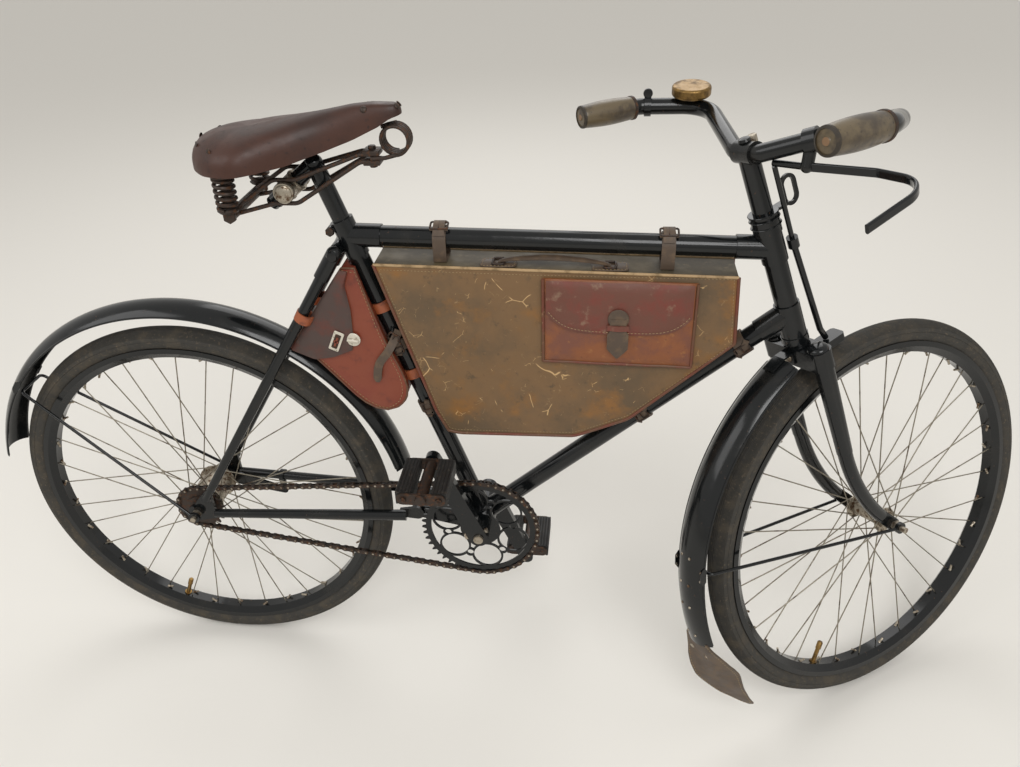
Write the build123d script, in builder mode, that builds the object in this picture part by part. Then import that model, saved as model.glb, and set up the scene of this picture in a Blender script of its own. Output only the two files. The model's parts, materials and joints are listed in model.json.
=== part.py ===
from build123d import *
import math
import os

os.makedirs("parts", exist_ok=True)

# Army roadster bicycle, millimetres, +X ahead, +Y to the rider's left, +Z up.
# The origin is the point of the saddle that carries the rider.
# Lengths marked x, z are measured from the bottom bracket.

# Clearances
FIT = 0.15
SEAT_GAP = 0.3
RUN_GAP = 0.5

# Main layout
BB_X = 300.0
BB_Z = -664.0
SEAT_ANGLE = 70.8
HEAD_ANGLE = 70.0
RAKE = 58.0
STEER_REST = 34.5
REAR_AXLE_X = -492.0
FRONT_AXLE_X = 657.0
AXLE_Z = 16.0

# Wheels
TYRE_R = 331.0
TYRE_SECTION_R = 19.0
RIM_FLOOR_R = 294.5
RIM_FLANGE_R = 299.0
RIM_INNER_R = 280.0
RIM_HALF_WIDTH = 16.5
RIM_FLANGE = 2.2
SPOKE_R = 1.0
SPOKE_COUNT = 36
SPOKE_CROSS = 3
SPOKE_RIM_Y = 4.0
FLANGE_THICKNESS = 2.6

# Tubes and lugs
TUBE_R = 15.0
HEAD_TUBE_R = 16.0
HEAD_TUBE_WALL = 2.0
LUG_WALL = 2.2
SOCKET_FROM = 25.0
SOCKET_LENGTH = 24.0
HEAD_LOW = 391.0
TOP_TUBE_HEAD = 532.0
HEAD_BEYOND = 24.0
HEAD_TOP = TOP_TUBE_HEAD + HEAD_BEYOND
HEAD_LENGTH = HEAD_TOP - HEAD_LOW
TOP_TUBE_SEAT = 537.0
DOWN_TUBE_HEAD = 428.0
SEAT_TUBE_TOP = 562.0
SEAT_LUG_LENGTH = 58.0
SHELL_R = 23.0
SHELL_HALF_WIDTH = 34.0

# Rear triangle
PIVOT_X = -110.0
PIVOT_Z = 16.0
PIVOT_R = 12.0
PIVOT_BOLT_R = 4.0
YOKE_HALF_WIDTH = 27.0
EYE_THICKNESS = 6.0
CHAIN_STAY_FRONT_R = 9.5
CHAIN_STAY_REAR_R = 7.5
DROPOUT_INSIDE = 57.0
DROPOUT_THICKNESS = 6.0
STAY_EYE_S = 525.0
STAY_EYE_BACK = 22.0
STAY_TOP_Y = 28.0
STAY_TOP_R = 11.5
STAY_R = 9.0
STAY_FOOT_R = 7.0
STAY_FOOT_X = -468.0
STAY_FOOT_Z = 50.0

# Axles and hubs
AXLE_R = 4.75
AXLE_BORE_GAP = 0.35
REAR_AXLE_HALF = 82.0
FRONT_AXLE_HALF = 72.0
NUT_ACROSS = 15.0
NUT_THICKNESS = 8.0
RIGHT_CONE_LENGTH = 6.0
LEFT_CONE_LENGTH = 5.0
REAR_FLANGE_R = 33.0
REAR_FLANGE_Y = 29.0
REAR_BARREL_R = 27.0
REAR_HOLE_R = 29.5
FRONT_FLANGE_R = 21.0
FRONT_FLANGE_Y = 29.0
FRONT_BARREL_R = 11.0
FRONT_HOLE_R = 17.5

# Chain drive
PITCH = 12.7
RING_TEETH = 48
SPROCKET_TEETH = 20
CHAIN_Y = -45.0
TOOTH_THICKNESS = 2.9
PLATE_THICKNESS = 1.1
PLATE_HALF_HEIGHT = 4.2
INNER_HALF_WIDTH = 1.9
RING_WEB_R = 58.5
RING_HOLE_R = 23.5
RING_HOLE_WALL = 3.5
RING_HOLES = 6
RING_EYE_R = 5.5
RING_RIM_R = 84.0
RING_HUB_R = 34.0

# Cranks and pedals
CRANK_LENGTH = 170.0
CRANK_ANGLE = 113.0
CRANK_IN_Y = 58.0
CRANK_THICKNESS = 13.0
CRANK_AXLE_R = 8.0
PEDAL_SPINDLE_R = 6.0
PEDAL_WIDTH = 92.0
PEDAL_BLOCK = 24.0
PEDAL_SPACING = 54.0

# Steering and bars, u ahead of the steering axis, w above the axle level
STEERER_R = 12.7
CUP_R = 19.5
CUP_HEIGHT = 10.0
CROWN_LOW = 346.0
CROWN_HEIGHT = 30.0
CROWN_HALF_WIDTH = 58.0
CROWN_HALF_DEPTH = 17.0
BLADE_Y = 46.0
BLADE_STRAIGHT_W = 190.0
STEM_R = 14.0
BAR_R = 12.0
BAR_W = 672.0
BAR_ASKEW = 2.1

# Mudguards
REAR_GUARD_AHEAD = 5.0
REAR_GUARD_RISE = 4.0
REAR_GUARD_R = 374.5
REAR_GUARD_FROM = 13.0
REAR_GUARD_TO = 168.0
FRONT_GUARD_R = 379.0
FRONT_GUARD_FROM = 124.0
FRONT_GUARD_TO = 199.0
GUARD_HALF_WIDTH = 30.0
REAR_GUARD_DEPTH = 16.0
FRONT_GUARD_DEPTH = 13.5
GUARD_SHEET = 1.2
GUARD_STAY_R = 2.6

# Luggage
CASE_HALF_WIDTH = 37.0
BAG_HALF_WIDTH = 30.0


def at(x, z, y=0.0):
    """Point x ahead of and z above the bottom bracket, y to the left."""
    return Vector(BB_X + x, y, BB_Z + z)


SIDE = Plane(origin=at(0, 0), x_dir=(1, 0, 0), z_dir=(0, -1, 0))

SEAT_UP = Vector(-math.cos(math.radians(SEAT_ANGLE)), 0, math.sin(math.radians(SEAT_ANGLE)))
SEAT_AHEAD = Vector(SEAT_UP.Z, 0, -SEAT_UP.X)
HEAD_UP = Vector(-math.cos(math.radians(HEAD_ANGLE)), 0, math.sin(math.radians(HEAD_ANGLE)))
HEAD_AHEAD = Vector(HEAD_UP.Z, 0, -HEAD_UP.X)

HEAD = Plane(
    origin=at(FRONT_AXLE_X, AXLE_Z) - HEAD_AHEAD * RAKE,
    x_dir=HEAD_AHEAD,
    z_dir=(0, -1, 0),
)
steer_turn = math.radians(STEER_REST)
STEER = Plane(
    origin=HEAD.origin,
    x_dir=HEAD.x_dir * math.cos(steer_turn) - HEAD.z_dir * math.sin(steer_turn),
    z_dir=HEAD.z_dir * math.cos(steer_turn) + HEAD.x_dir * math.sin(steer_turn),
)

# Side planes of the two wheels, x straight ahead along the wheel and y upright
REAR = Plane(origin=at(REAR_AXLE_X, AXLE_Z), x_dir=(1, 0, 0), z_dir=(0, -1, 0))
FRONT = Plane(
    origin=STEER.from_local_coords(Vector(RAKE, 0, 0)),
    x_dir=STEER.x_dir * HEAD_UP.Z + HEAD_UP * HEAD_UP.X,
    z_dir=STEER.z_dir,
)


def seat_point(s, ahead=0.0, y=0.0):
    """Point s up the seat tube's axis from the bottom bracket."""
    return at(0, 0, y) + SEAT_UP * s + SEAT_AHEAD * ahead


def turned(x, z, y=0.0):
    """Point measured with the wheel straight ahead, turned with the fork."""
    return STEER.from_local_coords(HEAD.to_local_coords(at(x, z, y)))


def head_point(w, u=0.0, y=0.0):
    """Point of the main frame w up the steering axis and u ahead of it."""
    return HEAD.from_local_coords(Vector(u, w, -y))


def fork_point(u, w, y=0.0):
    """Point that turns with the fork, u ahead of the steering axis, w up it."""
    return STEER.from_local_coords(Vector(u, w, -y))


def bar_point(x, y, z):
    """Point of the bars, measured straight ahead and level, tipped and turned with the fork."""
    spot = HEAD.to_local_coords(at(x, z, y))
    rise = spot.Y - BAR_W
    left = -spot.Z
    tip = math.radians(BAR_ASKEW)
    return fork_point(
        spot.X,
        BAR_W + rise * math.cos(tip) + left * math.sin(tip),
        left * math.cos(tip) - rise * math.sin(tip),
    )


def facing(start, end):
    """Plane at the start of a bar that runs from start to end."""
    return Plane(origin=start, z_dir=end - start)


def rod(start, end, radius, mode=Mode.ADD):
    """Round bar from start to end, added to the part in hand."""
    with BuildSketch(facing(start, end)) as section:
        Circle(radius)
    extrude(section.sketch, amount=(end - start).length, mode=mode)


def disc(plane, radius, amount, mode=Mode.ADD):
    """Round plate on a plane, added to the part in hand."""
    with BuildSketch(plane) as section:
        Circle(radius)
    extrude(section.sketch, amount=amount, mode=mode)


def nut(plane, across, thickness):
    """Hexagon on a plane, added to the part in hand."""
    with BuildSketch(plane) as section:
        RegularPolygon(0.5 * across, 6, major_radius=False)
    extrude(section.sketch, amount=thickness)


def tapered(plane, start, start_r, end, end_r, amount, mode=Mode.ADD):
    """Flat plate of two rounded ends and their outer tangents, added to the part in hand."""
    start = Vector(*start)
    end = Vector(*end)
    heading = math.atan2(end.Y - start.Y, end.X - start.X)
    spread = math.acos((start_r - end_r) / (end - start).length)

    def around(centre, radius, turn):
        return centre + Vector(math.cos(heading + turn), math.sin(heading + turn)) * radius

    with BuildSketch(plane) as section:
        with BuildLine():
            Line(around(start, start_r, spread), around(end, end_r, spread))
            ThreePointArc(
                around(end, end_r, spread), around(end, end_r, 0), around(end, end_r, -spread)
            )
            Line(around(end, end_r, -spread), around(start, start_r, -spread))
            ThreePointArc(
                around(start, start_r, -spread),
                around(start, start_r, math.pi),
                around(start, start_r, spread),
            )
        make_face()
    extrude(section.sketch, amount=amount, mode=mode)


def outline(plane, points, amount, corner=0.0, both=False, mode=Mode.ADD):
    """Flat plate with straight edges and rounded corners, added to the part in hand."""
    with BuildSketch(plane) as section:
        with BuildLine():
            Polyline(*points, close=True)
        make_face()
        if corner > 0:
            fillet(section.vertices(), corner)
    extrude(section.sketch, amount=amount, both=both, mode=mode)


def bent_rod(points, bend, radius, mode=Mode.ADD):
    """Round wire or tube through points with one bend radius, added to the part in hand."""
    with BuildLine() as run:
        FilletPolyline(*points, radius=bend)
    path = run.line
    with BuildSketch(Plane(origin=path @ 0, z_dir=path % 0)) as section:
        Circle(radius)
    sweep(section.sketch, path=path, mode=mode)


def save(part, name):
    part.part.label = name
    export_step(part.part, f"parts/{name}.step")


top_seat = seat_point(TOP_TUBE_SEAT)
top_head = head_point(TOP_TUBE_HEAD)
down_low = at(0, 0)
down_head = head_point(DOWN_TUBE_HEAD)
top_dir = (top_head - top_seat).normalized()
down_dir = (down_head - down_low).normalized()
lug_r = TUBE_R + LUG_WALL
socket_r = TUBE_R + FIT
socket_end = SOCKET_FROM + SOCKET_LENGTH
tube_from = SOCKET_FROM + FIT


def on_top_tube(x, drop=0.0):
    """Point at x on the top tube's centre line, or drop below it."""
    back = top_seat - at(0, 0)
    return at(x, back.Z + (x - back.X) * top_dir.Z / top_dir.X - drop)


def lug_sleeve(start, direction):
    rod(start, start + direction * socket_end, lug_r)


def lug_socket(start, direction):
    rod(start + direction * SOCKET_FROM, start + direction * (socket_end + 1), socket_r, Mode.SUBTRACT)


# Head tube with its two lugs
with BuildPart() as head_tube:
    rod(head_point(HEAD_LOW), head_point(HEAD_LOW + HEAD_LENGTH), HEAD_TUBE_R)
    for low, high in ((0.0, 52.0), (HEAD_LENGTH - 44.0, HEAD_LENGTH)):
        rod(head_point(HEAD_LOW + low), head_point(HEAD_LOW + high), HEAD_TUBE_R + LUG_WALL)
    lug_sleeve(top_head, top_dir * -1)
    lug_sleeve(down_head, down_dir * -1)
    lug_socket(top_head, top_dir * -1)
    lug_socket(down_head, down_dir * -1)
    for low in (HEAD_LOW - 20, HEAD_LOW + HEAD_LENGTH):
        rod(head_point(low), head_point(low + 20), CUP_R + SEAT_GAP, Mode.SUBTRACT)
    rod(head_point(HEAD_LOW), head_point(HEAD_LOW + HEAD_LENGTH), HEAD_TUBE_R - HEAD_TUBE_WALL, Mode.SUBTRACT)
save(head_tube, "head_tube")

with BuildPart() as top_tube:
    rod(top_seat + top_dir * tube_from, top_head - top_dir * tube_from, TUBE_R)
save(top_tube, "top_tube")

with BuildPart() as down_tube:
    rod(down_low + down_dir * (tube_from + 8), down_head - down_dir * tube_from, TUBE_R)
save(down_tube, "down_tube")

# Seat tube with the seat lug, binder ears and the stays' bolt boss
SEAT_POST_R = 13.0
POST_DEPTH = 80.0
stay_eye = seat_point(STAY_EYE_S, -STAY_EYE_BACK)
stay_eye_y = HEAD_TUBE_R + 1.0
with BuildPart() as seat_tube:
    rod(seat_point(tube_from + 8), seat_point(SEAT_TUBE_TOP), TUBE_R)
    rod(seat_point(SEAT_TUBE_TOP - SEAT_LUG_LENGTH), seat_point(SEAT_TUBE_TOP), lug_r)
    lug_sleeve(top_seat, top_dir)
    lug_socket(top_seat, top_dir)
    rod(stay_eye + Vector(0, -stay_eye_y, 0), stay_eye + Vector(0, stay_eye_y, 0), 10.0)
    ear = seat_point(SEAT_TUBE_TOP - 9.0, -lug_r - 3.0)
    rod(ear + Vector(0, -9, 0), ear + Vector(0, 9, 0), 6.0)
    rod(
        seat_point(SEAT_TUBE_TOP - POST_DEPTH),
        seat_point(SEAT_TUBE_TOP + 1),
        SEAT_POST_R + FIT,
        Mode.SUBTRACT,
    )
save(seat_tube, "seat_tube")

# Bottom bracket shell with lugs and the yoke that carries the chain stays
with BuildPart() as bottom_bracket:
    disc(SIDE.offset(-SHELL_HALF_WIDTH), SHELL_R, 2 * SHELL_HALF_WIDTH)
    for direction in (SEAT_UP, down_dir):
        rod(at(0, 0), at(0, 0) + direction * (socket_end + 8), lug_r)
    with BuildSketch(SIDE) as yoke:
        with BuildLine():
            Line((0, 20), (PIVOT_X, PIVOT_Z + PIVOT_R))
            ThreePointArc(
                (PIVOT_X, PIVOT_Z + PIVOT_R),
                (PIVOT_X - PIVOT_R, PIVOT_Z),
                (PIVOT_X, PIVOT_Z - PIVOT_R),
            )
            Line((PIVOT_X, PIVOT_Z - PIVOT_R), (0, -20))
            Line((0, -20), (0, 20))
        make_face()
    extrude(yoke.sketch, amount=YOKE_HALF_WIDTH, both=True)
    with BuildSketch(SIDE) as relief:
        with Locations((PIVOT_X + 20, PIVOT_Z)):
            Rectangle(90, 60)
    extrude(relief.sketch, amount=YOKE_HALF_WIDTH - 8, both=True, mode=Mode.SUBTRACT)
    for direction in (SEAT_UP, down_dir):
        lift = direction * 8
        rod(
            at(0, 0) + direction * SOCKET_FROM + lift,
            at(0, 0) + direction * (socket_end + 1) + lift,
            socket_r,
            Mode.SUBTRACT,
        )
    disc(SIDE.offset(-SHELL_HALF_WIDTH), CRANK_AXLE_R + RUN_GAP, 2 * SHELL_HALF_WIDTH, Mode.SUBTRACT)
save(bottom_bracket, "bottom_bracket")

# Chain stays with their front eyes and slotted dropouts, seat stays with bolted ends
stay_foot = at(STAY_FOOT_X, STAY_FOOT_Z)
foot_inside = DROPOUT_INSIDE + DROPOUT_THICKNESS + SEAT_GAP
for side, name in ((-1, "right"), (1, "left")):
    front = at(PIVOT_X - 18, PIVOT_Z - 2, side * (YOKE_HALF_WIDTH + SEAT_GAP + CHAIN_STAY_FRONT_R))
    rear = at(REAR_AXLE_X + 32, AXLE_Z, side * (DROPOUT_INSIDE + 0.5 * DROPOUT_THICKNESS))
    with BuildPart() as chain_stay:
        with BuildSketch(facing(front, rear)):
            Circle(CHAIN_STAY_FRONT_R)
        with BuildSketch(Plane(origin=rear, z_dir=rear - front)):
            Circle(CHAIN_STAY_REAR_R)
        loft()
        eye_from = YOKE_HALF_WIDTH + SEAT_GAP
        with BuildSketch(SIDE.offset(-side * eye_from)) as eye:
            with BuildLine():
                Line((PIVOT_X, PIVOT_Z + PIVOT_R), (PIVOT_X - 30, PIVOT_Z + 6))
                Line((PIVOT_X - 30, PIVOT_Z + 6), (PIVOT_X - 30, PIVOT_Z - 9))
                Line((PIVOT_X - 30, PIVOT_Z - 9), (PIVOT_X, PIVOT_Z - PIVOT_R))
                ThreePointArc(
                    (PIVOT_X, PIVOT_Z - PIVOT_R),
                    (PIVOT_X + PIVOT_R, PIVOT_Z),
                    (PIVOT_X, PIVOT_Z + PIVOT_R),
                )
            make_face()
        extrude(eye.sketch, amount=-side * EYE_THICKNESS)
        with BuildSketch(SIDE.offset(-side * DROPOUT_INSIDE)) as dropout:
            with BuildLine():
                Line((REAR_AXLE_X + 34, AXLE_Z - 8), (REAR_AXLE_X, AXLE_Z - 16))
                ThreePointArc(
                    (REAR_AXLE_X, AXLE_Z - 16), (REAR_AXLE_X - 16, AXLE_Z), (REAR_AXLE_X - 3, AXLE_Z + 16)
                )
                Line((REAR_AXLE_X - 3, AXLE_Z + 16), (STAY_FOOT_X - 9, STAY_FOOT_Z + 6))
                ThreePointArc(
                    (STAY_FOOT_X - 9, STAY_FOOT_Z + 6),
                    (STAY_FOOT_X, STAY_FOOT_Z + 10),
                    (STAY_FOOT_X + 9, STAY_FOOT_Z + 4),
                )
                Line((STAY_FOOT_X + 9, STAY_FOOT_Z + 4), (REAR_AXLE_X + 34, AXLE_Z + 8))
                Line((REAR_AXLE_X + 34, AXLE_Z + 8), (REAR_AXLE_X + 34, AXLE_Z - 8))
            make_face()
            with Locations((REAR_AXLE_X, AXLE_Z)):
                Circle(AXLE_R + FIT, mode=Mode.SUBTRACT)
        extrude(dropout.sketch, amount=-side * DROPOUT_THICKNESS)
    save(chain_stay, f"chain_stay_{name}")

    top = stay_eye + Vector(0, side * STAY_TOP_Y, 0)
    foot = stay_foot + Vector(0, side * (foot_inside + 0.6 * STAY_FOOT_R), 0)
    run = (foot - top).normalized()
    with BuildPart() as seat_stay:
        with BuildSketch(Plane(origin=top, z_dir=run)):
            Circle(STAY_R)
        with BuildSketch(Plane(origin=foot, z_dir=run)):
            Circle(STAY_FOOT_R)
        loft()
        rod(top, top + run * 44, STAY_TOP_R)
        with Locations(top):
            Sphere(STAY_TOP_R)
        with BuildSketch(SIDE.offset(-side * foot_inside)) as tab:
            with Locations((STAY_FOOT_X, STAY_FOOT_Z)):
                Circle(10)
        extrude(tab.sketch, amount=-side * EYE_THICKNESS)
        with Locations(stay_eye):
            Box(100, 2 * (stay_eye_y + SEAT_GAP), 100, mode=Mode.SUBTRACT)
        with Locations(stay_foot):
            Box(60, 2 * foot_inside, 44, mode=Mode.SUBTRACT)
    save(seat_stay, f"seat_stay_{name}")

# Headset cups, pressed in the head tube
with BuildPart() as headset_cups:
    for low in (HEAD_LOW - CUP_HEIGHT, HEAD_LOW + HEAD_LENGTH):
        rod(head_point(low), head_point(low + CUP_HEIGHT), CUP_R)
        rod(head_point(low), head_point(low + CUP_HEIGHT), STEERER_R + RUN_GAP, Mode.SUBTRACT)
save(headset_cups, "headset_cups")

# Rear axle with its cones inside the dropouts and nuts outside
CONE_R = 9.0
with BuildPart() as rear_axle:
    disc(REAR.offset(-REAR_AXLE_HALF), AXLE_R, 2 * REAR_AXLE_HALF)
    nut_from = DROPOUT_INSIDE + DROPOUT_THICKNESS + SEAT_GAP
    for side in (-1, 1):
        nut(REAR.offset(side * nut_from), NUT_ACROSS, side * NUT_THICKNESS)
    disc(REAR.offset(DROPOUT_INSIDE - SEAT_GAP), CONE_R, -RIGHT_CONE_LENGTH)
    disc(REAR.offset(-DROPOUT_INSIDE + SEAT_GAP), CONE_R, LEFT_CONE_LENGTH)
save(rear_axle, "rear_axle")

# Coaster brake arm, from the hub's left end to a clip round the left chain stay
ARM_Y = 48.0
ARM_THICKNESS = 3.0
ARM_HUB_R = 15.0
ARM_END_X = -378.0
ARM_END_Z = -14.0
ARM_END_R = 7.0
CLIP_R = 11.2
CLIP_GAP_R = 9.0
CLIP_WIDTH = 8.0
clip_share = (ARM_END_X - REAR_AXLE_X - 32) / (PIVOT_X - 18 - REAR_AXLE_X - 32)
clip_y = 60 + clip_share * (YOKE_HALF_WIDTH + SEAT_GAP + CHAIN_STAY_FRONT_R - 60)
clip_run = (
    at(PIVOT_X - 18, PIVOT_Z - 2, YOKE_HALF_WIDTH + SEAT_GAP + CHAIN_STAY_FRONT_R)
    - at(REAR_AXLE_X + 32, AXLE_Z, DROPOUT_INSIDE + 0.5 * DROPOUT_THICKNESS)
).normalized()
clip_point = at(ARM_END_X, AXLE_Z - 2 * clip_share, clip_y)
with BuildPart() as brake_arm:
    tapered(
        SIDE.offset(-ARM_Y),
        (REAR_AXLE_X, AXLE_Z),
        ARM_HUB_R,
        (ARM_END_X, ARM_END_Z),
        ARM_END_R,
        -ARM_THICKNESS,
    )
    with BuildSketch(SIDE.offset(-ARM_Y)) as riser:
        with Locations((ARM_END_X, 0)):
            Rectangle(12, 24)
    extrude(riser.sketch, amount=-ARM_THICKNESS)
    rod(clip_point - clip_run * 0.5 * CLIP_WIDTH, clip_point + clip_run * 0.5 * CLIP_WIDTH, CLIP_R)
    rod(clip_point - clip_run * 12, clip_point + clip_run * 12, CLIP_GAP_R, Mode.SUBTRACT)
    disc(REAR.offset(-60), AXLE_R + FIT, 20, Mode.SUBTRACT)
save(brake_arm, "brake_arm")

# Seat post, a tube with its upper arm bent to the rear
POST_TOP_S = 648.0
POST_ARM = 84.0
POST_ARM_FALL = 40.0
CLAMP_ALONG = 48.0
post_corner = seat_point(POST_TOP_S)
arm_dir = Vector(-math.cos(math.radians(POST_ARM_FALL)), 0, -math.sin(math.radians(POST_ARM_FALL)))
arm_r = SEAT_POST_R - 1
with BuildPart() as seat_post:
    rod(seat_point(SEAT_TUBE_TOP - POST_DEPTH + 5), post_corner, SEAT_POST_R)
    with Locations(post_corner):
        Sphere(SEAT_POST_R)
    rod(post_corner, post_corner + arm_dir * POST_ARM, arm_r)
save(seat_post, "seat_post")

# Saddle clamp, a band round the arm with washers and a cross bolt
CLAMP_R = 15.5
CLAMP_LENGTH = 28.0
CLAMP_WASHER_R = 13.0
CLAMP_BOLT_R = 5.0
CLAMP_HALF_WIDTH = 44.0
RAIL_Y = 30.0
clamp_point = post_corner + arm_dir * CLAMP_ALONG
with BuildPart() as saddle_clamp:
    rod(
        clamp_point - arm_dir * 0.5 * CLAMP_LENGTH,
        clamp_point + arm_dir * 0.5 * CLAMP_LENGTH,
        CLAMP_R,
    )
    rod(
        clamp_point + Vector(0, -CLAMP_HALF_WIDTH, 0),
        clamp_point + Vector(0, CLAMP_HALF_WIDTH, 0),
        CLAMP_BOLT_R,
    )
    for side in (-1, 1):
        inside = clamp_point + Vector(0, side * (CLAMP_R - 3), 0)
        rod(inside, inside + Vector(0, side * 24, 0), CLAMP_WASHER_R)
    rod(
        clamp_point - arm_dir * CLAMP_LENGTH,
        clamp_point + arm_dir * CLAMP_LENGTH,
        arm_r + FIT,
        Mode.SUBTRACT,
    )
save(saddle_clamp, "saddle_clamp")

# Saddle wire frame, two bars a side from the nose clip over the clamp's washers to the rear bridge
RAIL_R = 3.4
RAIL_LIFT = CLAMP_WASHER_R + RAIL_R + SEAT_GAP
COIL_R = 22.0
COIL_X = -93.0
COIL_Z = 646.0
NOSE_CLIP_X = -128.0
NOSE_CLIP_Z = 622.0
REAR_BRIDGE_X = -322.0
REAR_BRIDGE_Z = 556.0
REAR_BRIDGE_R = 8.0
with BuildPart() as saddle_rails:
    nose_clip = at(NOSE_CLIP_X, NOSE_CLIP_Z)
    for side in (-1, 1):
        for lift in (-1, 1):
            bent_rod(
                (
                    nose_clip + Vector(0, side * 8, lift * 5),
                    clamp_point + Vector(16, side * RAIL_Y, lift * RAIL_LIFT),
                    clamp_point + Vector(-16, side * RAIL_Y, lift * RAIL_LIFT),
                    at(REAR_BRIDGE_X, REAR_BRIDGE_Z + lift * 4, side * 38),
                ),
                16,
                RAIL_R,
            )
    with Locations(nose_clip):
        Box(26, 26, 20)
    with BuildSketch(SIDE.offset(-13)) as coil:
        with Locations((COIL_X, COIL_Z)):
            Circle(COIL_R)
            Circle(COIL_R - 7, mode=Mode.SUBTRACT)
    extrude(coil.sketch, amount=26)
    rod(nose_clip, at(COIL_X, COIL_Z - COIL_R + 4), 4.5)
    rod(at(REAR_BRIDGE_X, REAR_BRIDGE_Z, -66), at(REAR_BRIDGE_X, REAR_BRIDGE_Z, 66), REAR_BRIDGE_R)
save(saddle_rails, "saddle_rails")

# Two rear springs under the saddle's corners
SPRING_Y = 62.0
SPRING_R = 16.0
SPRING_TOP_Z = 614.8
with BuildPart() as saddle_springs:
    for side in (-1, 1):
        foot = at(REAR_BRIDGE_X, REAR_BRIDGE_Z + REAR_BRIDGE_R + SEAT_GAP, side * SPRING_Y)
        top = at(REAR_BRIDGE_X, SPRING_TOP_Z, side * SPRING_Y)
        rod(foot, top, SPRING_R)
        rod(foot, top, SPRING_R - 5, Mode.SUBTRACT)
save(saddle_springs, "saddle_springs")

# Saddle leather, lofted from the nose to the rear: place, half width, ridge, shoulder and hem
SADDLE_SECTIONS = (
    (-84, 6, 688, 684, 672),
    (-104, 17, 695, 688, 667),
    (-150, 24, 692, 683, 648),
    (-200, 38, 682, 668, 632),
    (-250, 64, 673, 652, 621),
    (-300, 90, 664, 640, 617),
    (-335, 78, 662, 640, 615.5),
    (-362, 54, 657, 641, 616),
    (-378, 20, 647, 640, 618),
)
with BuildPart() as saddle_leather:
    for x, half, ridge, shoulder, hem in SADDLE_SECTIONS:
        with BuildSketch(Plane(origin=at(x, 0), x_dir=(0, 1, 0), z_dir=(1, 0, 0))):
            with BuildLine():
                Polyline((-half, shoulder), (-half, hem), (half, hem), (half, shoulder))
                ThreePointArc((half, shoulder), (0, ridge), (-half, shoulder))
            make_face()
    loft()
save(saddle_leather, "saddle_leather")


# Wheels
def radial(side_plane, degrees):
    """Section plane of a wheel, x outward along the radius and y to the left."""
    turn = math.radians(degrees)
    outward = side_plane.x_dir * math.cos(turn) + side_plane.y_dir * math.sin(turn)
    along = side_plane.y_dir * math.cos(turn) - side_plane.x_dir * math.sin(turn)
    return Plane(origin=side_plane.origin, x_dir=outward, z_dir=along)


def axle_line(side_plane):
    return Axis(side_plane.origin, side_plane.z_dir)


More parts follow.
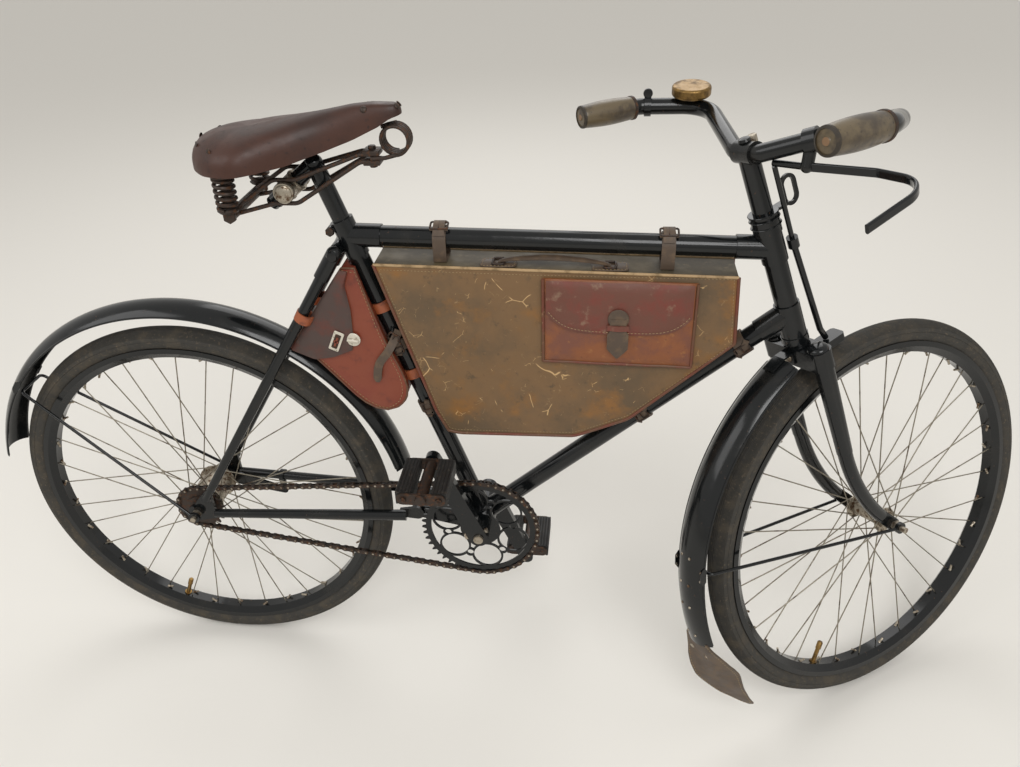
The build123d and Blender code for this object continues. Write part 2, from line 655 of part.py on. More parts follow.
TREAD_CENTRE_R = TYRE_R - TYRE_SECTION_R
bead_y = RIM_HALF_WIDTH - RIM_FLANGE - FIT
bead_r = TREAD_CENTRE_R - math.sqrt(TYRE_SECTION_R**2 - bead_y**2)
HUBS = (
    ("rear", REAR, REAR_FLANGE_R, REAR_FLANGE_Y, REAR_BARREL_R, REAR_HOLE_R, 20.0, 40.0),
    ("front", FRONT, FRONT_FLANGE_R, FRONT_FLANGE_Y, FRONT_BARREL_R, FRONT_HOLE_R, 13.0, 36.0),
)
for name, wheel, flange_r, flange_y, barrel_r, hole_r, cap_r, cap_y in HUBS:
    with BuildPart() as tyre:
        with BuildSketch(radial(wheel, 0)) as section:
            with BuildLine():
                Line((bead_r, bead_y), (RIM_FLOOR_R + SEAT_GAP, bead_y))
                Line((RIM_FLOOR_R + SEAT_GAP, bead_y), (RIM_FLOOR_R + SEAT_GAP, -bead_y))
                Line((RIM_FLOOR_R + SEAT_GAP, -bead_y), (bead_r, -bead_y))
                ThreePointArc((bead_r, -bead_y), (TYRE_R, 0), (bead_r, bead_y))
            make_face()
        revolve(section.sketch, axis=axle_line(wheel))
    save(tyre, f"{name}_tyre")

    with BuildPart() as rim:
        with BuildSketch(radial(wheel, 0)) as section:
            with BuildLine():
                Polyline(
                    (RIM_FLANGE_R, RIM_HALF_WIDTH - RIM_FLANGE),
                    (RIM_FLANGE_R, RIM_HALF_WIDTH),
                    (RIM_FLOOR_R - 4, RIM_HALF_WIDTH),
                    (RIM_INNER_R, 9),
                    (RIM_INNER_R, -9),
                    (RIM_FLOOR_R - 4, -RIM_HALF_WIDTH),
                    (RIM_FLANGE_R, -RIM_HALF_WIDTH),
                    (RIM_FLANGE_R, -RIM_HALF_WIDTH + RIM_FLANGE),
                    (RIM_FLOOR_R, -RIM_HALF_WIDTH + RIM_FLANGE),
                    (RIM_FLOOR_R, RIM_HALF_WIDTH - RIM_FLANGE),
                    close=True,
                )
            make_face()
        revolve(section.sketch, axis=axle_line(wheel))
    save(rim, f"{name}_rim")

    with BuildPart() as hub:
        disc(wheel.offset(-cap_y), cap_r, 2 * cap_y)
        disc(wheel.offset(-flange_y), barrel_r, 2 * flange_y)
        for side in (-1, 1):
            disc(wheel.offset(side * flange_y - 0.5 * FLANGE_THICKNESS), flange_r, FLANGE_THICKNESS)
        disc(wheel.offset(-cap_y), AXLE_R + AXLE_BORE_GAP, 2 * cap_y, Mode.SUBTRACT)
    save(hub, f"{name}_hub")

    # Crossed spokes, leading ones outside the flanges and trailing ones inside
    hub_step = 720.0 / SPOKE_COUNT
    lean = SPOKE_CROSS * hub_step
    rim_end_r = RIM_INNER_R - SEAT_GAP
    with BuildPart() as spokes:
        for side, shift in ((-1, 0.0), (1, 0.5)):
            for index in range(SPOKE_COUNT // 2):
                outer = index % 2 == 0
                hub_turn = math.radians(hub_step * (index + shift))
                rim_turn = hub_turn + math.radians(lean if outer else -lean)
                offset = SPOKE_R + 0.5 * FLANGE_THICKNESS + (0.9 if outer else -2 * SPOKE_R - FLANGE_THICKNESS - FIT)
                start = Vector(hole_r * math.cos(hub_turn), hole_r * math.sin(hub_turn), side * (flange_y + offset))
                end = Vector(rim_end_r * math.cos(rim_turn), rim_end_r * math.sin(rim_turn), side * SPOKE_RIM_Y)
                start = wheel.from_local_coords(start)
                end = wheel.from_local_coords(end)
                middle = (start + end) * 0.5
                with Locations(Plane(origin=middle, z_dir=end - start)):
                    Cylinder(SPOKE_R, (end - start).length)
    save(spokes, f"{name}_spokes")

# Chain wheels: tooth flanks are given as shares of one tooth's turn and heights over the pitch circle
TOOTH_PROFILE = (
    (-0.24, -3.6),
    (0.24, -3.6),
    (0.38, 1.6),
    (0.46, 3.4),
    (0.54, 3.4),
    (0.62, 1.6),
)
RING_PITCH_R = 0.5 * PITCH / math.sin(math.pi / RING_TEETH)
SPROCKET_PITCH_R = 0.5 * PITCH / math.sin(math.pi / SPROCKET_TEETH)


def tooth_points(centre, teeth, pitch_r, phase):
    """Outline of a toothed wheel with the middle of one gap at the phase angle."""
    return [
        (
            centre[0] + (pitch_r + height) * math.cos(phase + math.tau * (tooth + share) / teeth),
            centre[1] + (pitch_r + height) * math.sin(phase + math.tau * (tooth + share) / teeth),
        )
        for tooth in range(teeth)
        for share, height in TOOTH_PROFILE
    ]


# Chain path, counted from the upper tangent point of the ring over its front to the lower run
centre_distance = math.hypot(REAR_AXLE_X, AXLE_Z)
line_turn = math.atan2(AXLE_Z, REAR_AXLE_X)
rise = math.acos((RING_PITCH_R - SPROCKET_PITCH_R) / centre_distance)
run_length = math.sqrt(centre_distance**2 - (RING_PITCH_R - SPROCKET_PITCH_R) ** 2)
upper_turn = line_turn - rise
ring_wrap = math.tau - 2 * rise
sprocket_wrap = 2 * rise
ring_arc = ring_wrap * RING_PITCH_R
sprocket_arc = sprocket_wrap * SPROCKET_PITCH_R
path_length = ring_arc + sprocket_arc + 2 * run_length
link_count = 2 * round(path_length / (2 * PITCH))
link_step = path_length / link_count


def chain_pin(index):
    """Place of a chain pin beside the bottom bracket, and whether it lies on a wheel."""
    travel = (index % link_count) * link_step
    if travel < ring_arc:
        turn = upper_turn - travel / RING_PITCH_R
        return Vector(RING_PITCH_R * math.cos(turn), RING_PITCH_R * math.sin(turn))
    travel -= ring_arc
    lower_turn = upper_turn - ring_wrap
    ring_end = Vector(math.cos(lower_turn), math.sin(lower_turn))
    if travel < run_length:
        onward = Vector(ring_end.Y, -ring_end.X)
        return ring_end * RING_PITCH_R + onward * travel
    travel -= run_length
    if travel < sprocket_arc:
        turn = lower_turn - travel / SPROCKET_PITCH_R
        around = Vector(math.cos(turn), math.sin(turn)) * SPROCKET_PITCH_R
        return Vector(REAR_AXLE_X, AXLE_Z) + around
    travel -= sprocket_arc
    ring_start = Vector(math.cos(upper_turn), math.sin(upper_turn))
    onward = Vector(ring_start.Y, -ring_start.X)
    return ring_start * RING_PITCH_R - onward * (run_length - travel)


# Links whose pins are this near to a wheel's centre have side plates only, the rest are closed blocks
RING_NEAR_R = 112.0
SPROCKET_NEAR_R = 58.0
chain_side = SIDE.offset(-CHAIN_Y)
inner_half = INNER_HALF_WIDTH + PLATE_THICKNESS
outer_half = inner_half + PLATE_THICKNESS
with BuildPart() as chain:
    layers = {"block": [], "inner": [], "outer": []}
    for index in range(link_count):
        first = chain_pin(index)
        second = chain_pin(index + 1)
        middle = (first + second) * 0.5
        near_ring = middle.length < RING_NEAR_R
        near_sprocket = (middle - Vector(REAR_AXLE_X, AXLE_Z)).length < SPROCKET_NEAR_R
        turn = math.degrees(math.atan2(second.Y - first.Y, second.X - first.X))
        if index % 2 == 0:
            layers["inner" if near_ring or near_sprocket else "block"].append((middle, turn))
        else:
            layers["outer"].append((middle, turn))
    half = 0.5 * PITCH
    for layer, start, end in (
        ("block", -inner_half, inner_half),
        ("inner", INNER_HALF_WIDTH, inner_half),
        ("inner", -inner_half, -INNER_HALF_WIDTH),
        ("outer", inner_half, outer_half),
        ("outer", -outer_half, -inner_half),
    ):
        with BuildSketch(chain_side.offset(start)) as plates:
            for middle, turn in layers[layer]:
                with Locations(Location((middle.X, middle.Y, 0), (0, 0, turn))):
                    Polygon(
                        (-half - 4.2, 0),
                        (-half - 2.2, PLATE_HALF_HEIGHT),
                        (half + 2.2, PLATE_HALF_HEIGHT),
                        (half + 4.2, 0),
                        (half + 2.2, -PLATE_HALF_HEIGHT),
                        (-half - 2.2, -PLATE_HALF_HEIGHT),
                        align=None,
                    )
        extrude(plates.sketch, amount=end - start)
save(chain, "chain")

# Chain ring with six ring-shaped openings and small eyes between them
RING_BORE_R = 16.0
RING_FIRST_HOLE = -80.0
with BuildPart() as chainring:
    with BuildSketch(chain_side.offset(-0.5 * TOOTH_THICKNESS)):
        with BuildLine():
            Polyline(*tooth_points((0, 0), RING_TEETH, RING_PITCH_R, upper_turn), close=True)
        make_face()
        Circle(RING_RIM_R, mode=Mode.SUBTRACT)
        Circle(RING_HUB_R)
        with PolarLocations(RING_WEB_R, RING_HOLES, start_angle=RING_FIRST_HOLE):
            Circle(RING_HOLE_R + RING_HOLE_WALL)
        with PolarLocations(RING_WEB_R - 2, RING_HOLES, start_angle=RING_FIRST_HOLE + 30):
            Circle(RING_EYE_R + RING_HOLE_WALL)
        with PolarLocations(RING_WEB_R, RING_HOLES, start_angle=RING_FIRST_HOLE):
            Circle(RING_HOLE_R, mode=Mode.SUBTRACT)
        with PolarLocations(RING_WEB_R - 2, RING_HOLES, start_angle=RING_FIRST_HOLE + 30):
            Circle(RING_EYE_R, mode=Mode.SUBTRACT)
        Circle(RING_BORE_R + FIT, mode=Mode.SUBTRACT)
    extrude(amount=TOOTH_THICKNESS)
save(chainring, "chainring")

# Rear sprocket on its driver
DRIVER_R = 24.0
DRIVER_IN_Y = 41.0
DRIVER_OUT_Y = 49.0
sprocket_phase = upper_turn - ring_wrap - (
    (math.ceil((ring_arc + run_length) / link_step) * link_step - ring_arc - run_length) / SPROCKET_PITCH_R
)
with BuildPart() as rear_sprocket:
    with BuildSketch(chain_side.offset(-0.5 * TOOTH_THICKNESS)):
        with BuildLine():
            Polyline(
                *tooth_points((REAR_AXLE_X, AXLE_Z), SPROCKET_TEETH, SPROCKET_PITCH_R, sprocket_phase),
                close=True,
            )
        make_face()
    extrude(amount=TOOTH_THICKNESS)
    disc(REAR.offset(DRIVER_IN_Y), DRIVER_R, DRIVER_OUT_Y - DRIVER_IN_Y)
    disc(REAR.offset(DRIVER_IN_Y), AXLE_R + AXLE_BORE_GAP, DRIVER_OUT_Y - DRIVER_IN_Y, Mode.SUBTRACT)
save(rear_sprocket, "rear_sprocket")

# Crank axle, cranks and pedals
CRANK_BOSS_R = 16.0
CRANK_END_R = 12.0
CRANK_NARROW_R = 10.0
CRANK_AXLE_HALF = 75.0
PEDAL_GAP = 5.0
PEDAL_SLEEVE_R = 9.0
PEDAL_PLATE = 3.0
PEDAL_PLATE_HALF = 10.0
BOSS_IN_Y = SHELL_HALF_WIDTH + 2.0
crank_out_y = CRANK_IN_Y + CRANK_THICKNESS
pedal_in_y = crank_out_y + PEDAL_GAP
pedal_out_y = pedal_in_y + PEDAL_WIDTH - 4
with BuildPart() as crank_axle:
    disc(SIDE.offset(-CRANK_AXLE_HALF), CRANK_AXLE_R, 2 * CRANK_AXLE_HALF)
save(crank_axle, "crank_axle")

for side, name, turn in ((1, "right", CRANK_ANGLE), (-1, "left", CRANK_ANGLE + 180.0)):
    end_x = CRANK_LENGTH * math.cos(math.radians(turn))
    end_z = CRANK_LENGTH * math.sin(math.radians(turn))
    crank_plane = SIDE.offset(side * CRANK_IN_Y)
    end_plane = Plane(origin=at(end_x, end_z), x_dir=(1, 0, 0), z_dir=(0, -1, 0))
    with BuildPart() as crank:
        tapered(crank_plane, (0, 0), CRANK_BOSS_R, (end_x, end_z), CRANK_END_R, side * CRANK_THICKNESS)
        disc(SIDE.offset(side * BOSS_IN_Y), CRANK_BOSS_R, side * (crank_out_y - BOSS_IN_Y))
        disc(end_plane.offset(side * CRANK_IN_Y), PEDAL_SPINDLE_R, side * (pedal_out_y - CRANK_IN_Y))
        disc(SIDE.offset(side * BOSS_IN_Y), CRANK_AXLE_R + FIT, side * CRANK_AXLE_HALF, Mode.SUBTRACT)
    save(crank, f"crank_{name}")

    with BuildPart() as pedal:
        disc(end_plane.offset(side * pedal_in_y), PEDAL_SLEEVE_R, side * (pedal_out_y - pedal_in_y + PEDAL_PLATE))
        for plate_y in (pedal_in_y, pedal_out_y):
            with BuildSketch(end_plane.offset(side * plate_y)) as plate:
                Rectangle(PEDAL_SPACING + 2 * PEDAL_PLATE_HALF, 2 * PEDAL_PLATE_HALF)
                fillet(plate.vertices(), PEDAL_PLATE_HALF - 1)
            extrude(plate.sketch, amount=side * PEDAL_PLATE)
        disc(
            end_plane.offset(side * pedal_in_y),
            PEDAL_SPINDLE_R + AXLE_BORE_GAP,
            side * (pedal_out_y - pedal_in_y),
            Mode.SUBTRACT,
        )
    save(pedal, f"pedal_{name}")

    with BuildPart() as rubbers:
        rubber_from = pedal_in_y + PEDAL_PLATE + SEAT_GAP
        rubber_to = pedal_out_y - SEAT_GAP
        with BuildSketch(end_plane.offset(side * rubber_from)) as blocks:
            with Locations((-0.5 * PEDAL_SPACING, 0), (0.5 * PEDAL_SPACING, 0)):
                Rectangle(PEDAL_BLOCK, PEDAL_BLOCK)
            fillet(blocks.vertices(), 4)
        extrude(blocks.sketch, amount=side * (rubber_to - rubber_from))
    save(rubbers, f"pedal_{name}_rubbers")

# Fork: steerer, crown, blades and dropouts
CROWN_CORNER = 12.0
BLADE_DEPTH = 30.0
BLADE_BREADTH = 21.0
BLADE_R = 11.0
DROPOUT_R = 11.0
FRONT_DROPOUT_THICKNESS = 6.0
STEERER_BEYOND = 28.0
STEERER_TOP = HEAD_TOP + STEERER_BEYOND
BLADE_SHORT = 0.12
blade_arc_r = (RAKE**2 + BLADE_STRAIGHT_W**2) / (2 * RAKE)
blade_turn = math.asin(BLADE_STRAIGHT_W / blade_arc_r) - BLADE_SHORT
blade_end = (
    blade_arc_r * (1 - math.cos(blade_turn)),
    BLADE_STRAIGHT_W - blade_arc_r * math.sin(blade_turn),
)
blade_half = (
    blade_arc_r * (1 - math.cos(0.5 * blade_turn)),
    BLADE_STRAIGHT_W - blade_arc_r * math.sin(0.5 * blade_turn),
)
crown_plane = Plane(origin=fork_point(0, CROWN_LOW), x_dir=STEER.x_dir, z_dir=HEAD_UP)
with BuildPart() as fork:
    with BuildSketch(crown_plane) as crown:
        Rectangle(2 * CROWN_HALF_DEPTH, 2 * CROWN_HALF_WIDTH)
        fillet(crown.vertices(), CROWN_CORNER)
    extrude(crown.sketch, amount=CROWN_HEIGHT)
    rod(fork_point(0, CROWN_LOW), fork_point(0, STEERER_TOP), STEERER_R)
    for side in (-1, 1):
        with BuildSketch(crown_plane.offset(6)) as blade_top:
            with Locations((0, side * BLADE_Y)):
                SlotOverall(BLADE_DEPTH, BLADE_BREADTH)
        with BuildSketch(crown_plane.offset(BLADE_STRAIGHT_W - CROWN_LOW)) as blade_low:
            with Locations((0, side * BLADE_Y)):
                SlotOverall(2 * BLADE_R + 2, 2 * BLADE_R - 0.5)
        loft(Sketch() + [blade_top.sketch, blade_low.sketch])
        with BuildLine(STEER.offset(-side * BLADE_Y)) as bend:
            ThreePointArc((0, BLADE_STRAIGHT_W), blade_half, blade_end)
        with BuildSketch(Plane(origin=bend.line @ 0, z_dir=bend.line % 0)) as blade_section:
            Circle(BLADE_R)
        sweep(blade_section.sketch, path=bend.line)
        tapered(
            STEER.offset(-side * BLADE_Y - 0.5 * FRONT_DROPOUT_THICKNESS),
            blade_end,
            DROPOUT_R - 1,
            (RAKE, 0),
            DROPOUT_R,
            FRONT_DROPOUT_THICKNESS,
        )
    disc(FRONT.offset(-FRONT_AXLE_HALF), AXLE_R + FIT, 2 * FRONT_AXLE_HALF, Mode.SUBTRACT)
save(fork, "fork")

# Front axle with its cones and nuts
front_dropout_in = BLADE_Y - 0.5 * FRONT_DROPOUT_THICKNESS - SEAT_GAP
front_dropout_out = BLADE_Y + 0.5 * FRONT_DROPOUT_THICKNESS + SEAT_GAP
with BuildPart() as front_axle:
    disc(FRONT.offset(-FRONT_AXLE_HALF), AXLE_R, 2 * FRONT_AXLE_HALF)
    for side in (-1, 1):
        disc(FRONT.offset(side * front_dropout_in), CONE_R, -side * 3.0)
        nut(FRONT.offset(side * front_dropout_out), NUT_ACROSS, side * NUT_THICKNESS)
save(front_axle, "front_axle")

# Headset: crown race, upper cone, lock nut and lamp washer on the steerer
UPPER_CONE = 10.0
LOCK_NUT = 6.0
LAMP_WASHER = 3.0
LOCK_NUT_LOW = HEAD_TOP + CUP_HEIGHT + UPPER_CONE
LAMP_WASHER_LOW = LOCK_NUT_LOW + LOCK_NUT
HEADSET_TOP = LAMP_WASHER_LOW + LAMP_WASHER
with BuildPart() as headset_cones:
    for low, high, radius in (
        (CROWN_LOW + CROWN_HEIGHT + SEAT_GAP, HEAD_LOW - CUP_HEIGHT - SEAT_GAP, CUP_R - 3),
        (HEAD_LOW + HEAD_LENGTH + CUP_HEIGHT + SEAT_GAP, LOCK_NUT_LOW, CUP_R),
        (LOCK_NUT_LOW, LAMP_WASHER_LOW, CUP_R - 2),
        (LAMP_WASHER_LOW, HEADSET_TOP, CUP_R + 1),
    ):
        rod(fork_point(0, low), fork_point(0, high), radius)
        rod(fork_point(0, low), fork_point(0, high), STEERER_R + FIT, Mode.SUBTRACT)
save(headset_cones, "headset_cones")

# Stem and handlebar swept back to the grips, its corners as x, y and z with the wheel straight ahead
STEM_TEE_R = 15.5
STEM_TEE_HALF = 17.0
BAR_BENDS = (35.0, 45.0, 25.0, 25.0, 45.0, 35.0)
BAR_CORNERS = (
    (372.0, 22.0, 628.0),
    (445.0, 172.0, 674.0),
    (362.0, 229.0, 677.0),
    (267.0, 236.0, 669.0),
)
bar_middle = fork_point(0, BAR_W)
bar_points = [bar_point(x, -y, z) for x, y, z in reversed(BAR_CORNERS)]
bar_points += [bar_point(x, y, z) for x, y, z in BAR_CORNERS]
bar_count = len(BAR_CORNERS)
with BuildPart() as stem:
    rod(fork_point(0, HEADSET_TOP + SEAT_GAP), bar_middle, STEM_R)
    for inner in bar_points[bar_count - 1 : bar_count + 1]:
        rod(bar_middle, bar_middle + (inner - bar_middle).normalized() * STEM_TEE_HALF, STEM_TEE_R)
    with Locations(bar_middle):
        Sphere(STEM_TEE_R)
    bent_rod(bar_points, BAR_BENDS, BAR_R + FIT, Mode.SUBTRACT)
save(stem, "stem")

with BuildPart() as handlebar:
    bent_rod(bar_points, BAR_BENDS, BAR_R)
save(handlebar, "handlebar")

# Grips, barrel-shaped with a flat closed end
GRIP_LENGTH = 89.0
GRIP_CAP = 4.0
GRIP_END_R = 16.0
GRIP_MIDDLE_R = 18.0
GRIP_INNER_R = 16.5
for name, bar_end, last_corner in (
    ("right", bar_points[0], bar_points[1]),
    ("left", bar_points[-1], bar_points[-2]),
):
    back = (last_corner - bar_end).normalized()
    grip_end = bar_end - back * GRIP_CAP
    across = back.cross(HEAD_UP).normalized()
    with BuildPart() as grip:
        with BuildSketch(Plane(origin=grip_end, x_dir=across, z_dir=across.cross(back))) as section:
            with BuildLine():
                Line((0, 0), (GRIP_END_R, 0))
                ThreePointArc(
                    (GRIP_END_R, 0),
                    (GRIP_MIDDLE_R, 0.5 * GRIP_LENGTH),
                    (GRIP_INNER_R, GRIP_LENGTH),
                )
                Line((GRIP_INNER_R, GRIP_LENGTH), (0, GRIP_LENGTH))
                Line((0, GRIP_LENGTH), (0, 0))
            make_face()
        revolve(section.sketch, axis=Axis(grip_end, back))
        rod(bar_end - back * SEAT_GAP, bar_end + back * GRIP_LENGTH, BAR_R + FIT, Mode.SUBTRACT)
    save(grip, f"grip_{name}")

# Bell on the bend of the left bar, a flat drum on a short mast
BELL_SHARE = 0.7745
BELL_R = 28.5
BELL_HEIGHT = 15.5
BELL_EDGE = 4.0
BELL_MAST = 4.5
BELL_MAST_R = 8.0
with BuildLine() as bar_run:
    FilletPolyline(*bar_points, radius=BAR_BENDS)
bell_seat = bar_run.wire() @ BELL_SHARE
bell_along = bar_run.wire() % BELL_SHARE
bell_up = (HEAD_UP - bell_along * HEAD_UP.dot(bell_along)).normalized()
bell_base = bell_seat + bell_up * (BAR_R + BELL_MAST)
with BuildPart() as bell:
    rod(bell_seat + bell_up * (BAR_R + SEAT_GAP), bell_base + bell_up * 2, BELL_MAST_R)
    with BuildSketch(Plane(origin=bell_base, x_dir=bell_along, z_dir=bell_up)) as drum:
        Circle(BELL_R)
    extrude(drum.sketch, amount=BELL_HEIGHT)
    fillet(bell.edges().filter_by(GeomType.CIRCLE).group_by(SortBy.RADIUS)[-1], BELL_EDGE)
save(bell, "bell")

# Brake lever, a flat strip under the right grip on a boss clipped to the bar
LEVER_DEEP = 12.0
LEVER_THICK = 5.0
LEVER_POINTS = (
    (398.0, -80.0, 612.0),
    (429.0, -160.0, 607.0),
    (430.0, -235.0, 600.0),
    (331.0, -240.0, 564.0),
)
LEVER_BENDS = (30.0, 42.0)
LEVER_BOSS_R = 8.0
LEVER_ARM_R = 4.5
LEVER_CLIP_ALONG = 69.0
LEVER_CLIP_HALF = 8.0
LEVER_CLIP_WALL = 4.0
rod_top = turned(388, 615, -32)
right_inner = bar_points[bar_count - 1]
right_run = (bar_points[bar_count - 2] - right_inner).normalized()
lever_clip = right_inner + right_run * LEVER_CLIP_ALONG
lever_points = [turned(x, z, y) for x, y, z in LEVER_POINTS]
lever_pivot = lever_points[0]
with BuildPart() as brake_lever:
    with BuildLine() as lever_run:
        FilletPolyline(*lever_points, radius=LEVER_BENDS)
    lever_path = lever_run.wire()
    lever_start = Plane(origin=lever_path @ 0, x_dir=HEAD_UP, z_dir=lever_path % 0)
    with BuildSketch(lever_start) as strip:
        SlotOverall(LEVER_DEEP, LEVER_THICK)
    sweep(strip.sketch, path=lever_path)
    clip_half = right_run * LEVER_CLIP_HALF
    rod(lever_clip - clip_half, lever_clip + clip_half, BAR_R + LEVER_CLIP_WALL)
    rod(lever_clip, lever_pivot, LEVER_BOSS_R)
    rod(lever_pivot, rod_top, LEVER_ARM_R)
    with Locations(lever_pivot):
        Sphere(LEVER_BOSS_R)
    rod(lever_clip - clip_half * 2, lever_clip + clip_half * 2, BAR_R + FIT, Mode.SUBTRACT)
save(brake_lever, "brake_lever")

# Brake rod in front of the head, down to the shoe over the tyre
ROD_R = 3.5
ROD_LOW_R = 4.5
ADJUSTER_R = 8.0
SHOE_FROM = 340.0
SHOE_TO = 352.0
rod_adjuster = fork_point(28, 528, -10)
rod_low = fork_point(42, 376, -5)
rod_foot = fork_point(52, SHOE_TO + 0.5 * ROD_LOW_R)
with BuildPart() as brake_rod:
    up = (rod_top - rod_adjuster).normalized()
    rod(rod_adjuster, rod_top - up * (LEVER_ARM_R + 3 * SEAT_GAP), ROD_R)
    rod(rod_low, rod_adjuster, ROD_LOW_R)
    rod(rod_adjuster - up * 8, rod_adjuster + up * 8, ADJUSTER_R)
    rod(rod_foot, rod_low, ROD_LOW_R)
    with Locations(rod_low):
        Sphere(ROD_LOW_R)
save(brake_rod, "brake_rod")

with BuildPart() as brake_shoe:
    with BuildSketch(Plane(origin=fork_point(56, SHOE_FROM), x_dir=STEER.x_dir, z_dir=HEAD_UP)) as shoe:
        Rectangle(44, 26)
        fillet(shoe.vertices(), 6)
    extrude(shoe.sketch, amount=SHOE_TO - SHOE_FROM)
save(brake_shoe, "brake_shoe")

# Lamp bracket in front of the head, an oblong loop on an arm from the headset's washer
LAMP_U = 50.0
LAMP_W = 595.0
LAMP_HALF_RISE = 9.0
LAMP_STRIP = 5.5
LAMP_SLOT_R = 8.0
LAMP_THICK = 4.0
LAMP_ARM_LOW = 579.0
LAMP_ARM_HALF = 8.0
lamp_arm_u = CUP_R + 1 + 3 * SEAT_GAP
with BuildPart() as lamp_bracket:
    with BuildSketch(STEER.offset(-0.5 * LAMP_THICK)) as loop:
        with Locations(Location((LAMP_U, LAMP_W, 0), (0, 0, 90))):
            SlotCenterToCenter(2 * LAMP_HALF_RISE, 2 * (LAMP_SLOT_R + LAMP_STRIP))
            SlotCenterToCenter(2 * LAMP_HALF_RISE, 2 * LAMP_SLOT_R, mode=Mode.SUBTRACT)
    extrude(loop.sketch, amount=LAMP_THICK)
    outline(
        STEER,
        (
            (lamp_arm_u, LAMP_ARM_LOW + LAMP_THICK),
            (LAMP_U - LAMP_SLOT_R - 1, LAMP_ARM_LOW + LAMP_THICK),
            (LAMP_U - LAMP_SLOT_R - 1, LAMP_ARM_LOW),
            (lamp_arm_u, LAMP_ARM_LOW),
        ),
        LAMP_ARM_HALF,
        both=True,
    )
save(lamp_bracket, "lamp_bracket")

# Mudguards, sheets of a round section carried on one bent stay each
REAR_GUARD = Plane(
    origin=REAR.origin + Vector(REAR_GUARD_AHEAD, 0, REAR_GUARD_RISE),
    x_dir=REAR.x_dir,
    z_dir=REAR.z_dir,
)


def guard_bend(depth):
    """Radius of a guard's round section and half the angle it spans."""
    bow = (GUARD_HALF_WIDTH**2 + depth**2) / (2 * depth)
    return bow, math.asin(GUARD_HALF_WIDTH / bow)


def guard(side_plane, crown_r, depth, start, end):
    """Mudguard sheet about a centre line, added to the part in hand."""
    outer, spread = guard_bend(depth)
    inner = outer - GUARD_SHEET
    centre = crown_r - outer
    with BuildSketch(radial(side_plane, start)) as section:
        with BuildLine():
            ends = [
                (centre + bow * math.cos(spread), side * bow * math.sin(spread))
                for bow in (outer, inner)
                for side in (-1, 1)
            ]
            ThreePointArc(ends[0], (crown_r, 0), ends[1])
            Line(ends[1], ends[3])
            ThreePointArc(ends[3], (centre + inner, 0), ends[2])
            Line(ends[2], ends[0])
        make_face()
    revolve(section.sketch, axis=axle_line(side_plane), revolution_arc=end - start)


def guard_stay(side_plane, eye_y, turn, reach):
    """Bent wire from both axle ends, passing under the guard, added to the part in hand."""
    outward = radial(side_plane, turn)
    eye = outward.from_local_coords(Vector(0, eye_y, 0)) - outward.origin
    left = outward.y_dir
    far = outward.origin + outward.x_dir * reach
    hold = GUARD_HALF_WIDTH - 1
    bent_rod(
        (
            outward.origin + outward.x_dir * 9 + left * eye_y,
            far + left * hold,
            far - left * hold,
            outward.origin + outward.x_dir * 9 - left * eye_y,
        ),
        8,
        GUARD_STAY_R,
    )
    for side in (-1, 1):
        disc(side_plane.offset(side * (eye_y - GUARD_STAY_R)), 9.5, side * 2 * GUARD_STAY_R)
    disc(side_plane.offset(-eye_y - 5), AXLE_R + FIT, 2 * eye_y + 10, Mode.SUBTRACT)


REAR_STAY_TURN = 142.0
FRONT_STAY_TURN = 178.0
STAY_UNDER = 25.0
rear_stay_y = nut_from + NUT_THICKNESS + SEAT_GAP + GUARD_STAY_R
front_stay_y = front_dropout_out + NUT_THICKNESS + SEAT_GAP + GUARD_STAY_R
with BuildPart() as rear_mudguard:
    guard(REAR_GUARD, REAR_GUARD_R, REAR_GUARD_DEPTH, REAR_GUARD_FROM, REAR_GUARD_TO)
save(rear_mudguard, "rear_mudguard")

with BuildPart() as rear_mudguard_stays:
    guard_stay(REAR, rear_stay_y, REAR_STAY_TURN, REAR_GUARD_R - STAY_UNDER)
save(rear_mudguard_stays, "rear_mudguard_stays")

# Bridge between the seat stays that the rear guard hangs from
BRIDGE_R = 5.0
bridge_r = REAR_GUARD_R + BRIDGE_R + SEAT_GAP
stay_line = stay_foot - stay_eye
eye_offset = stay_eye - REAR_GUARD.origin
half_b = eye_offset.dot(stay_line)
bridge_share = (
    -half_b - math.sqrt(half_b**2 - stay_line.length**2 * (eye_offset.length**2 - bridge_r**2))
) / stay_line.length**2
bridge_point = stay_eye + stay_line * bridge_share
bridge_half = STAY_TOP_Y + (foot_inside + 0.6 * STAY_FOOT_R - STAY_TOP_Y) * bridge_share - STAY_R
with BuildPart() as stay_bridge:
    rod(bridge_point - Vector(0, bridge_half, 0), bridge_point + Vector(0, bridge_half, 0), BRIDGE_R)
save(stay_bridge, "stay_bridge")

with BuildPart() as front_mudguard:
    guard(FRONT, FRONT_GUARD_R, FRONT_GUARD_DEPTH, FRONT_GUARD_FROM, FRONT_GUARD_TO)
save(front_mudguard, "front_mudguard")

